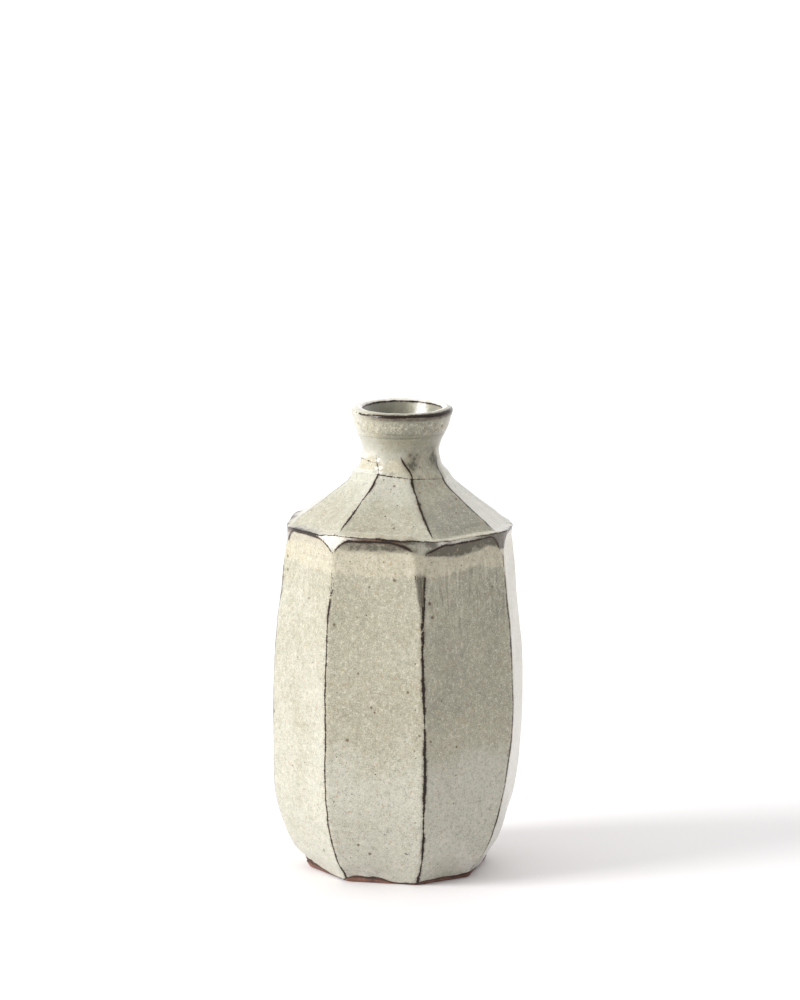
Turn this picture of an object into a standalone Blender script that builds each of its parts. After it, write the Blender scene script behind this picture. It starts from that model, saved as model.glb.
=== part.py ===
"""A faceted stoneware sake bottle, in metres, +Z up, standing on z = 0 with its axis on Z.

The bottle is thrown round in five clay sections that are luted on stepped joints, cut to eight
sides outside and left round inside, then glazed: four outer coats that meet at the ridges and
lines where the clay shows through, and one liner coat inside. The front of the bottle faces -Y.
"""

import math

import bmesh
import bpy
import numpy as np

MM = 0.001

# Driving dimensions, in millimetres. Radii are to the glazed outside, at the corners where faceted.
HEIGHT = 156.0
FOOT_RADIUS = 31.0
BELLY_RADIUS = 42.7
BELLY_HEIGHT = 56.0
BELT_RADIUS = 37.9
LIP_HEIGHT = 116.6
NECK_BASE_RADIUS = 16.6
NECK_BASE_HEIGHT = 134.5
THROAT_RADIUS = 12.7
THROAT_HEIGHT = 142.0
MOUTH_RADIUS = 16.8
MOUTH_LIP_WIDTH = 3.3
COLLAR_HEIGHT = 147.75

GAP = 0.3  # clearance left between neighbouring solids
GLAZE = 0.7  # thickness of every glaze coat
CLAY = GLAZE + GAP  # depth of the clay under the glazed outside
HALF_GAP = GAP / 2
LUTE_STEP = 1.5  # height of the step in each luted joint
BODY_STEP_RADIUS = 32.8
NECK_STEP_RADIUS = 11.9

FOOT_JOINT = 5.85
BODY_JOINT = LIP_HEIGHT - 0.85
BARE_FOOT = 1.45  # the glaze stops here and the clay below stays bare
BARE_INSET = 0.35
FOOT_RECESS_RADIUS = 20.0
FOOT_RECESS_DEPTH = 1.5

SCOOP_RADIUS = 4.2  # the cutting wire turns outwards on this radius below the belt
SCOOP_START = LIP_HEIGHT - 3.0
OVERSHOOT = 4.0  # how far a cutter runs past the section that it cuts
TURNED_STEPS = 64
WALL_STEP = 4.0  # heights between the rings of the thrown outside
CAVITY_STEP = 9.0
BODY_CUT_STEP = 9.0  # heights between the rings of the cuts
SCOOP_STEP = 0.6
SHOULDER_CUT_STEP = 2.5
NECK_CUT_STEP = 1.6
SCOOP_TURN = 0.97  # share of a quarter turn's radius that the scoop is followed for
LEAN = 0.9  # how far the neck stands to one side of the foot
LEAN_FROM = LIP_HEIGHT
LEAN_TO = 138.0

# Corner azimuths in degrees from the front, counted towards +X. Each corner has its opposite.
BODY_CORNERS = (-80.0, -34.5, 11.5, 64.0)
BODY_CORNERS_AT_FOOT = (-80.0, -34.5, 11.5, 52.0)
SHOULDER_CORNERS = (-78.0, -31.5, 14.5, 58.0)
SHOULDER_CORNERS_AT_NECK = (-78.0, -29.5, 11.0, 50.0)
CORNER_LEAN_HEIGHT = 60.0  # above this the body's corners run straight up
FACET_HALF_ANGLE = math.radians(180 / 8)

# Outlines are (height, radius) points on a smooth curve. These run through the facets' corners.
BODY_OUTLINE = (
    (0.0, FOOT_RADIUS),
    (12.0, FOOT_RADIUS + 5.9),
    (25.0, BELLY_RADIUS - 2.1),
    (BELLY_HEIGHT, BELLY_RADIUS),
    (84.0, BELLY_RADIUS - 1.3),
    (SCOOP_START, BELT_RADIUS + 0.4),
)
SHOULDER_OUTLINE = (
    (LIP_HEIGHT - 0.4, BELT_RADIUS + 2.2),
    (LIP_HEIGHT + 1.6, BELT_RADIUS - 0.6),
    (121.0, 33.4),
    (126.6, 25.2),
    (131.0, 19.4),
    (NECK_BASE_HEIGHT, NECK_BASE_RADIUS),
)
NECK_CUT_OUTLINE = (
    (NECK_BASE_HEIGHT, NECK_BASE_RADIUS),
    (137.0, THROAT_RADIUS + 2.1),
    (139.2, THROAT_RADIUS + 1.5),
    (THROAT_HEIGHT, THROAT_RADIUS + 2.4),
)
# These run round the thrown form, which shows only where the facets are not cut as deep.
BELT_OUTLINE = (
    (0.0, BELLY_RADIUS + 6),
    (70.0, BELLY_RADIUS + 2),
    (88.0, BELLY_RADIUS - 1.7),
    (100.0, BELT_RADIUS + 1.0),
    (SCOOP_START, BELT_RADIUS),
    (LIP_HEIGHT + OVERSHOOT, BELT_RADIUS),
)
NECK_OUTLINE = (
    (NECK_BASE_HEIGHT, NECK_BASE_RADIUS - 0.4),
    (137.0, THROAT_RADIUS + 1.3),
    (139.5, THROAT_RADIUS + 0.3),
    (THROAT_HEIGHT, THROAT_RADIUS),
    (145.0, THROAT_RADIUS + 0.6),
    (COLLAR_HEIGHT, THROAT_RADIUS + 1.7),
)
# The clay's inside, thrown round. The liner glaze lies on it.
CAVITY = (
    (FOOT_JOINT, 26.5),
    (FOOT_JOINT + LUTE_STEP, 26.5),
    (12.0, 29.3),
    (25.0, 32.6),
    (BELLY_HEIGHT, 34.2),
    (84.0, 32.8),
    (105.0, 30.6),
    (BODY_JOINT, 29.6),
    (118.3, 26.8),
    (121.5, 22.4),
    (126.6, 15.8),
    (131.0, 11.4),
    (NECK_BASE_HEIGHT, 9.9),
    (138.0, 9.5),
    (THROAT_HEIGHT, 9.4),
    (COLLAR_HEIGHT, 10.5),
)
# The glazed outside of the mouth, from the collar over the lip and down into the throat.
MOUTH_PATH = (
    (MOUTH_RADIUS - 2.1, COLLAR_HEIGHT + HALF_GAP),
    (MOUTH_RADIUS - 1.1, HEIGHT - 5.5),
    (MOUTH_RADIUS - 0.3, HEIGHT - 3.0),
    (MOUTH_RADIUS, HEIGHT - 1.5),
    (MOUTH_RADIUS - 0.35, HEIGHT - 0.6),
    (MOUTH_RADIUS - 1.2, HEIGHT),
    (MOUTH_RADIUS - 2.2, HEIGHT - 0.05),
    (MOUTH_RADIUS - MOUTH_LIP_WIDTH, HEIGHT - 0.9),
    (MOUTH_RADIUS - 4.3, HEIGHT - 3.5),
    (MOUTH_RADIUS - 5.8, HEIGHT - 6.0),
    (MOUTH_RADIUS - 7.2, COLLAR_HEIGHT + HALF_GAP),
)


def radius_at(outline, height):
    """The radius of a smooth curve through an outline's points, and its slope, at a height."""
    heights, radii = (np.array(column, float) for column in zip(*outline))
    slopes = np.gradient(radii, heights)
    i = int(np.clip(np.searchsorted(heights, height) - 1, 0, len(heights) - 2))
    span = heights[i + 1] - heights[i]
    t = (height - heights[i]) / span
    if t < 0 or t > 1:
        end = i if t < 0 else i + 1
        return radii[end] + slopes[end] * (height - heights[end]), slopes[end]
    drop = radii[i + 1] - radii[i]
    a = slopes[i] * span - drop
    b = drop - slopes[i + 1] * span
    radius = radii[i] + t * drop + t * (1 - t) * ((1 - t) * a + t * b)
    slope = (drop + (1 - 2 * t) * ((1 - t) * a + t * b) + t * (1 - t) * (b - a)) / span
    return radius, slope


def inset_radius(outline, height, inset):
    """The radius at a height, with the surface moved inwards by inset along its own normal."""
    radius, slope = radius_at(outline, height)
    return radius - inset * math.sqrt(1 + slope * slope)


def heights_between(bottom, top, step):
    count = max(2, round((top - bottom) / step) + 1)
    return [float(z) for z in np.linspace(bottom, top, count)]


def offset_path(path, distance):
    """A path of (radius, height) points moved to its right-hand side, with flat ends kept level."""
    points = np.array(path, float)
    along = np.gradient(points, axis=0)
    along /= np.linalg.norm(along, axis=1)[:, None]
    moved = points + distance * np.stack([along[:, 1], -along[:, 0]], axis=1)
    moved[0, 1], moved[-1, 1] = points[0, 1], points[-1, 1]
    return [tuple(point) for point in moved]


def material(name, colour, roughness):
    made = bpy.data.materials.new(name)
    made.use_nodes = True
    shader = made.node_tree.nodes["Principled BSDF"]
    shader.inputs["Base Color"].default_value = (*colour, 1)
    shader.inputs["Roughness"].default_value = roughness
    shader.inputs["Metallic"].default_value = 0
    return made


def lean_at(height):
    """How far the bottle has moved aside at a height."""
    share = min(1, max(0, (height - LEAN_FROM) / (LEAN_TO - LEAN_FROM)))
    return LEAN * share * share * (3 - 2 * share)


def object_from(bm, name, finish=None, helper=False):
    """An object with the built mesh: a part with its material, or a cutter that is not rendered."""
    bmesh.ops.remove_doubles(bm, verts=bm.verts, dist=1e-7)
    bmesh.ops.recalc_face_normals(bm, faces=bm.faces)
    for vert in bm.verts:
        vert.co.x += lean_at(vert.co.z / MM) * MM
    mesh = bpy.data.meshes.new(name)
    bm.to_mesh(mesh)
    bm.free()
    mesh.shade_smooth()
    mesh.set_sharp_from_angle(angle=math.radians(12))
    obj = bpy.data.objects.new(name, mesh)
    bpy.context.scene.collection.objects.link(obj)
    if helper:
        obj.hide_render = True
        obj.display_type = "WIRE"
    if finish:
        mesh.materials.append(finish)
    return obj


def turned(path, name, finish=None, helper=False):
    """A solid turned about Z from a closed path of (radius, height) points."""
    bm = bmesh.new()
    verts = [bm.verts.new((radius * MM, 0, height * MM)) for radius, height in path]
    edges = [bm.edges.new((verts[i - 1], verts[i])) for i in range(len(verts))]
    bmesh.ops.spin(
        bm,
        geom=verts + edges,
        cent=(0, 0, 0),
        axis=(0, 0, 1),
        angle=2 * math.pi,
        steps=TURNED_STEPS,
        use_merge=True,
    )
    bmesh.ops.remove_doubles(bm, verts=bm.verts, dist=1e-6)
    axis_edges = [e for e in bm.edges if all(v.co.xy.length < 1e-7 for v in e.verts)]
    bmesh.ops.delete(bm, geom=axis_edges, context="EDGES")
    return object_from(bm, name, finish, helper)


def eight_sided(rings, name):
    """A cutter lofted through eight-cornered rings of (height, corner radius, four azimuths)."""
    bm = bmesh.new()
    loops = []
    for height, radius, azimuths in rings:
        angles = [math.radians(a + turn) for turn in (0, 180) for a in azimuths]
        loops.append(
            [
                bm.verts.new((radius * MM * math.sin(a), -radius * MM * math.cos(a), height * MM))
                for a in angles
            ]
        )
    for lower, upper in zip(loops, loops[1:]):
        for i in range(8):
            bm.faces.new((lower[i - 1], lower[i], upper[i], upper[i - 1]))
    bm.faces.new(loops[0])
    bm.faces.new(loops[-1])
    return object_from(bm, name, helper=True)


def between(low, high, share):
    return [a + (b - a) * share for a, b in zip(low, high)]


def at_corner(inset):
    """How far a corner moves in when the facets beside it move in by inset."""
    return inset / math.cos(FACET_HALF_ANGLE)


def body_envelope(inset, name, bottom=-OVERSHOOT):
    """The eight cuts down the sides, which turn outwards in a scoop below the belt."""
    scoop_top = SCOOP_START + SCOOP_RADIUS * SCOOP_TURN
    heights = heights_between(bottom, SCOOP_START, BODY_CUT_STEP)
    heights += heights_between(SCOOP_START, scoop_top, SCOOP_STEP)[1:]
    rings = []
    for height in heights:
        lean = 1 - min(1, max(0, height) / CORNER_LEAN_HEIGHT)
        corners = between(BODY_CORNERS, BODY_CORNERS_AT_FOOT, lean * lean)
        rise = max(0, height - SCOOP_START)
        scoop = SCOOP_RADIUS - math.sqrt(SCOOP_RADIUS**2 - rise**2)
        radius = inset_radius(BODY_OUTLINE, height, at_corner(inset)) + at_corner(scoop)
        rings.append((height, radius, corners))
    rings.append((scoop_top + OVERSHOOT, rings[-1][1] + 1, BODY_CORNERS))
    return eight_sided(rings, name)


def shoulder_envelope(inset, name):
    """The eight cuts from the belt up to the neck."""
    rings = []
    for height in heights_between(LIP_HEIGHT - 3, NECK_BASE_HEIGHT + 2, SHOULDER_CUT_STEP):
        share = (height - LIP_HEIGHT) / (NECK_BASE_HEIGHT - LIP_HEIGHT)
        corners = between(SHOULDER_CORNERS, SHOULDER_CORNERS_AT_NECK, share)
        radius = inset_radius(SHOULDER_OUTLINE, height, at_corner(inset))
        rings.append((height, radius, corners))
    return eight_sided(rings, name)


def neck_envelope(inset, name):
    """The short cuts at the foot of the neck, which run out into the round throat."""
    rings = []
    for height in heights_between(NECK_BASE_HEIGHT - 3, COLLAR_HEIGHT + 2, NECK_CUT_STEP):
        radius = inset_radius(NECK_CUT_OUTLINE, height, at_corner(inset))
        rings.append((height, radius, SHOULDER_CORNERS_AT_NECK))
    return eight_sided(rings, name)


def cut(obj, operation, tool):
    modifier = obj.modifiers.new(tool.name, "BOOLEAN")
    modifier.operation = operation
    modifier.object = tool
    modifier.solver = "EXACT"


def outside_path(outline, inset, bottom, top, step):
    """The (radius, height) points up the thrown outside."""
    return [
        (inset_radius(outline, height, inset), height)
        for height in heights_between(bottom, top, step)
    ]


def inside_path(bottom, top):
    """The (radius, height) points down the cavity's wall, dense where it bends."""
    inner = [z for z, _ in CAVITY if bottom + 0.5 < z < top - 0.5]
    marks = [top, *reversed(inner), bottom]
    path = []
    for high, low in zip(marks, marks[1:]):
        steps = heights_between(low, high, CAVITY_STEP)[::-1]
        path += [(radius_at(CAVITY, z)[0], z) for z in steps[:-1]]
    return [*path, (radius_at(CAVITY, bottom)[0], bottom)]


def clay_section(name, outline, envelope, bottom, top, spigot, socket):
    """A thrown ring of clay cut to eight sides, with a step at each end that locates the next one.

    spigot is the outer radius of the step that drops into the section below, or of the one that
    the section below raises into this one, and socket the same at the upper end. 0 leaves it flat.
    """
    low = bottom - LUTE_STEP if spigot > 0 else bottom
    outer = outside_path(outline, CLAY, bottom, top, WALL_STEP)
    inner = inside_path(low, top - LUTE_STEP if socket else top)
    path = list(outer)
    if socket:
        path += [(socket, top), (socket, top - LUTE_STEP)]
    path += inner
    if spigot:
        path += [(spigot, low), (spigot, bottom)]
    obj = turned(path, name, CLAY_FINISH)
    cut(obj, "INTERSECT", envelope(CLAY, name + "_facet_cut"))
    return obj


def glaze_coat(name, outline, envelope, bottom, top):
    """A thin coat that follows a faceted clay section's outside from one line to another."""
    blanks = []
    for label, inset, past in (("", 0, 0), ("_clay_blank", GLAZE, OVERSHOOT)):
        outer = outside_path(outline, inset, bottom - past, top + past, WALL_STEP)
        path = [(0, bottom - past), *outer, (0, top + past)]
        helper = bool(label)
        blank = turned(path, name + label, None if helper else GLAZE_FINISH, helper)
        cut(blank, "INTERSECT", envelope(inset, name + label + "_facet_cut"))
        blanks.append(blank)
    cut(blanks[0], "DIFFERENCE", blanks[1])
    return blanks[0]


def foot_slab():
    """The floor: a bare outer edge, a shallow recess underneath and a step up inside the wall."""
    top = FOOT_JOINT - HALF_GAP
    floor = top + LUTE_STEP
    wall = CAVITY[0][1] - GAP
    path = [
        (0, FOOT_RECESS_DEPTH),
        (FOOT_RECESS_RADIUS, FOOT_RECESS_DEPTH),
        (FOOT_RECESS_RADIUS + 2 * FOOT_RECESS_DEPTH, 0),
        (BELLY_RADIUS, 0),
        (BELLY_RADIUS, top),
        (wall, top),
        (wall, floor),
        (0, floor),
    ]
    obj = turned(path, "foot_slab", CLAY_FINISH)
    rings = [
        (height, inset_radius(BODY_OUTLINE, height, at_corner(inset)), BODY_CORNERS_AT_FOOT)
        for height, inset in (
            (-OVERSHOOT, BARE_INSET),
            (0, BARE_INSET),
            (BARE_FOOT - GAP, BARE_INSET),
            (BARE_FOOT - GAP, CLAY + 0.3),
            (top + OVERSHOOT, CLAY),
        )
    ]
    cut(obj, "INTERSECT", eight_sided(rings, "foot_slab_facet_cut"))
    return obj


def mouth_ring():
    """The flared clay mouth above the collar line, and the coat that rolls over its lip."""
    clay = offset_path(MOUTH_PATH, -CLAY)
    coat = offset_path(MOUTH_PATH, -GLAZE)
    turned(clay, "mouth_ring", CLAY_FINISH)
    turned([*MOUTH_PATH, *reversed(coat)], "mouth_glaze", GLAZE_FINISH)


def liner_coat():
    """The coat inside, from the floor to the collar line."""
    floor = FOOT_JOINT + LUTE_STEP + HALF_GAP
    wall = inside_path(floor, COLLAR_HEIGHT - HALF_GAP)
    outer = [(0, floor), *reversed(offset_path(wall, GAP))]
    inner = [*offset_path(wall, CLAY)[:-1]]
    foot_radius = offset_path(wall, CLAY)[-1][0]
    inner += [(foot_radius, floor + GLAZE + 1.0), (foot_radius - 2.0, floor + GLAZE)]
    turned([*outer, *inner, (0, floor + GLAZE)], "liner_glaze", LINER_FINISH)


def build():
    foot_slab()
    clay_section(
        "body_wall",
        BELT_OUTLINE,
        body_envelope,
        FOOT_JOINT + HALF_GAP,
        BODY_JOINT - HALF_GAP,
        0,
        BODY_STEP_RADIUS,
    )
    clay_section(
        "shoulder",
        BELT_OUTLINE,
        shoulder_envelope,
        BODY_JOINT + HALF_GAP,
        NECK_BASE_HEIGHT - HALF_GAP,
        BODY_STEP_RADIUS - GAP,
        NECK_STEP_RADIUS,
    )
    clay_section(
        "neck",
        NECK_OUTLINE,
        neck_envelope,
        NECK_BASE_HEIGHT + HALF_GAP,
        COLLAR_HEIGHT - HALF_GAP,
        NECK_STEP_RADIUS - GAP,
        0,
    )
    mouth_ring()
    glaze_coat("body_glaze", BELT_OUTLINE, body_envelope, BARE_FOOT, BODY_JOINT - HALF_GAP)
    glaze_coat(
        "shoulder_glaze",
        BELT_OUTLINE,
        shoulder_envelope,
        BODY_JOINT + HALF_GAP,
        NECK_BASE_HEIGHT - HALF_GAP,
    )
    glaze_coat(
        "neck_glaze",
        NECK_OUTLINE,
        neck_envelope,
        NECK_BASE_HEIGHT + HALF_GAP,
        COLLAR_HEIGHT - HALF_GAP,
    )
    liner_coat()


for old in list(bpy.data.objects):
    bpy.data.objects.remove(old)
CLAY_FINISH = material("stoneware", (0.17, 0.075, 0.045), 0.85)
GLAZE_FINISH = material("outer_glaze", (0.56, 0.54, 0.42), 0.3)
LINER_FINISH = material("liner_glaze", (0.42, 0.43, 0.34), 0.25)
build()
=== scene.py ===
import math

import bmesh
import bpy
import numpy as np
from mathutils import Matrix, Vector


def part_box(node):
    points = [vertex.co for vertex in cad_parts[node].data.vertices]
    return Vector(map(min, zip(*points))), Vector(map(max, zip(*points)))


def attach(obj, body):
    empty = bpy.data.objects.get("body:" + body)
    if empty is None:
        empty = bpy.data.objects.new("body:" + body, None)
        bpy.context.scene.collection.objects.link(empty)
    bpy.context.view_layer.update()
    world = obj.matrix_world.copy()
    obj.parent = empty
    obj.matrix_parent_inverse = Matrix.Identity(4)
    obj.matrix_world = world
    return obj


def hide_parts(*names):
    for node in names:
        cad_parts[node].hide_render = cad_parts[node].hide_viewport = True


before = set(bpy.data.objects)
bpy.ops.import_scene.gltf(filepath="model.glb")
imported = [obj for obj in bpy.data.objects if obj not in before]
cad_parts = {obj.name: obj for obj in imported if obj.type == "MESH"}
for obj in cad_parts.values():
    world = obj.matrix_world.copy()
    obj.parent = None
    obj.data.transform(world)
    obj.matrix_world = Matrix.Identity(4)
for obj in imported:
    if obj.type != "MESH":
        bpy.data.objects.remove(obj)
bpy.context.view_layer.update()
mm = 0.001

print("reading the frame")
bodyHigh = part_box("body_glaze")[1]
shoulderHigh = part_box("shoulder_glaze")[1]
neckLow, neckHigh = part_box("neck_glaze")
mouthLow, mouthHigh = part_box("mouth_glaze")
linerLow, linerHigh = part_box("liner_glaze")
lipOverJoint = 1.0
lipLine = bodyHigh.z / mm + lipOverJoint
neckLine = (shoulderHigh.z + neckLow.z) / 2 / mm
collarLine = (neckHigh.z + mouthLow.z) / 2 / mm
# how far the bottle leans aside, and between which heights it comes to that
leans = ({"by": 0.9, "low": 116.6, "high": 138}, {"by": 0.5, "low": 147, "high": 154})
noIron = 0.001


# shapes are worked out in millimetres, and azimuths count from the front (-Y) towards +X
def ease(low, high, x):
    share = np.clip((np.asarray(x, float) - low) / (high - low), 0, 1)
    return share * share * (3 - 2 * share)


def hump(x, middle, reach):
    return np.exp(-(((np.asarray(x, float) - middle) / reach) ** 2))


def swell(x, amount, middle, reach):
    # a smooth rise, or a groove where the amount is below zero
    return amount * hump(x, middle, reach)


def along(points, x):
    # a smooth curve through (place, value) points
    places, values = np.array(points, float).T
    slopes = np.gradient(values, places)
    x = np.clip(x, places[0], places[-1])
    i = np.clip(np.searchsorted(places, x) - 1, 0, len(places) - 2)
    span = places[i + 1] - places[i]
    t = (x - places[i]) / span
    rise = values[i + 1] - values[i]
    a = slopes[i] * span - rise
    b = rise - slopes[i + 1] * span
    return values[i] + t * rise + t * (1 - t) * ((1 - t) * a + t * b)


def around(points, azimuth):
    # the same round the bottle, through (degrees, value) points, closing on itself
    before = [(degrees - 360, value) for degrees, value in points[-3:]]
    after = [(degrees + 360, value) for degrees, value in points[:3]]
    first = points[0][0]
    return along([*before, *points, *after], (np.degrees(azimuth) - first) % 360 + first)


def lesser(a, b, soft):
    # the smaller of two surfaces, with the crease between them softened
    share = np.clip(0.5 + 0.5 * (b - a) / soft, 0, 1)
    return b + (a - b) * share - soft * share * (1 - share)


def waver(seed, x, y, z, size):
    # unevenness of about -1 to 1, some size millimetres across
    draw = np.random.default_rng(seed)
    total = 0
    for _ in range(8):
        way = draw.normal(size=3)
        way *= draw.uniform(0.6, 1.6) * 2 * math.pi / size / np.linalg.norm(way)
        total = total + np.sin(way[0] * x + way[1] * y + way[2] * z + draw.uniform(0, 6.28))
    return total / 3.4


def uneven(terms, x, y, z):
    # wavers added up, from (seed, size, amount) terms
    return sum(amount * waver(seed, x, y, z, size) for seed, size, amount in terms)


def onCircle(radius, azimuth):
    return radius * np.sin(azimuth), radius * np.cos(azimuth)


def lean(z):
    # the neck stands a little to one side of the body, as in the CAD, and the rim a little further
    return sum(part["by"] * ease(part["low"], part["high"], z) for part in leans)


def spread(azimuth, radius, z):
    azimuth, radius, z = np.broadcast_arrays(azimuth, radius, z)
    return np.stack([radius * np.sin(azimuth) + lean(z), -radius * np.cos(azimuth), z], axis=-1)


def steps(low, high, spacing):
    return np.linspace(low, high, max(2, int(round((high - low) / spacing)) + 1))


def stretches(*runs):
    # rows of heights, run after run of (low, high, spacing)
    return np.concatenate([steps(*runs[0]), *(steps(*run)[1:] for run in runs[1:])])


def facetColumns(count):
    # each facet's columns, closer together near its two ridges
    t = np.arange(count) / count
    share = 0.35 * t + 0.65 * (0.5 - 0.5 * np.cos(math.pi * t))
    return np.concatenate([k + share for k in range(8)])


def facetPlaces(columns, ridges):
    # ridges holds the eight azimuths in degrees, one row for each height
    k = np.floor(columns + 1e-9).astype(int) % 8
    share = columns - np.floor(columns + 1e-9)
    ridges = np.radians(ridges)
    after = np.concatenate([ridges[:, 1:], ridges[:, :1] + 2 * math.pi], axis=1)
    start, width = ridges[:, k], (after - ridges)[:, k]
    return k, share, start + share * width, width


def closest(*lines):
    # of several (distance, half width) edges, the one that shows most at each point
    line, iron = lines[0]
    for distance, half in lines[1:]:
        nearer = distance * iron < line * half
        line, iron = np.where(nearer, distance, line), np.where(nearer, half, iron)
    return line, np.maximum(iron, 0.02)


def shell(name, rings, marks, closed=True):
    # rings of points joined into one skin, round and round, or with a point at each end
    count = rings[0].shape[0]
    points = np.concatenate(rings) * mm
    ids = np.arange(len(rings) * count).reshape(len(rings), count)
    pairs = list(zip(ids, ids[1:]))
    if closed:
        pairs.append((ids[-1], ids[0]))
    faces = []
    for one, two in pairs:
        faces.append(np.stack([one, np.roll(one, -1), np.roll(two, -1), two], axis=1))
    faces = np.concatenate(faces).tolist()
    if not closed:
        ends = [rings[0].mean(0) * mm, rings[-1].mean(0) * mm]
        for end, loop in zip((0, 1), (ids[0], ids[-1])):
            faces += [[int(a), int(b), len(points) + end] for a, b in zip(loop, np.roll(loop, -1))]
        points = np.concatenate([points, ends])
    mesh = bpy.data.meshes.new(name)
    mesh.from_pydata(points.tolist(), [], faces)
    for mark, values in marks.items():
        values = np.concatenate([np.broadcast_to(v, count) for v in values]).astype(np.float32)
        values = np.concatenate([values, np.zeros(len(points) - len(values), np.float32)])
        mesh.attributes.new(mark, "FLOAT", "POINT").data.foreach_set("value", values)
    bm = bmesh.new()
    bm.from_mesh(mesh)
    bmesh.ops.recalc_face_normals(bm, faces=bm.faces)
    bm.to_mesh(mesh)
    bm.free()
    mesh.shade_smooth()
    mesh.set_sharp_from_angle(angle=math.radians(75))
    piece = bpy.data.objects.new(name, mesh)
    bpy.context.scene.collection.objects.link(piece)
    print(f"  {name}: {len(points)} points")
    return piece


def skinned(name, outer, marks, thickness, rows):
    # a coat: the outer rings, and a plainer inside that follows them at the coat's thickness
    upwards = np.gradient(outer, axis=0)
    sideways = np.roll(outer, -1, axis=1) - np.roll(outer, 1, axis=1)
    normal = np.cross(sideways, upwards)
    normal /= np.linalg.norm(normal, axis=2)[:, :, None]
    side = np.sign((normal[..., :2] * outer[..., :2]).sum())
    inner = outer - side * normal * thickness
    inner[0, :, 2] = outer[0, :, 2]
    inner[-1, :, 2] = outer[-1, :, 2]
    rings = [*outer, *(inner[i] for i in rows[::-1])]
    marks = {mark: [*v, *(v[i] for i in rows[::-1])] for mark, v in marks.items()}
    return shell(name, rings, marks)


def radii(points):
    # how far points are from the axis they were spread round
    return np.hypot(points[:, 0] - lean(points[:, 2]), points[:, 1])


def pointOn(outer, azimuth, height):
    # the point of a surface at an azimuth in degrees and a height
    away = np.hypot(outer[..., 0], outer[..., 1])
    turn = np.degrees(np.arctan2(outer[..., 0], -outer[..., 1]))
    aside = np.radians((turn - azimuth + 180) % 360 - 180) * away
    nearest = np.argmin(aside**2 + (outer[..., 2] - height) ** 2)
    return tuple(float(c) for c in outer.reshape(-1, 3)[nearest])


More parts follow.
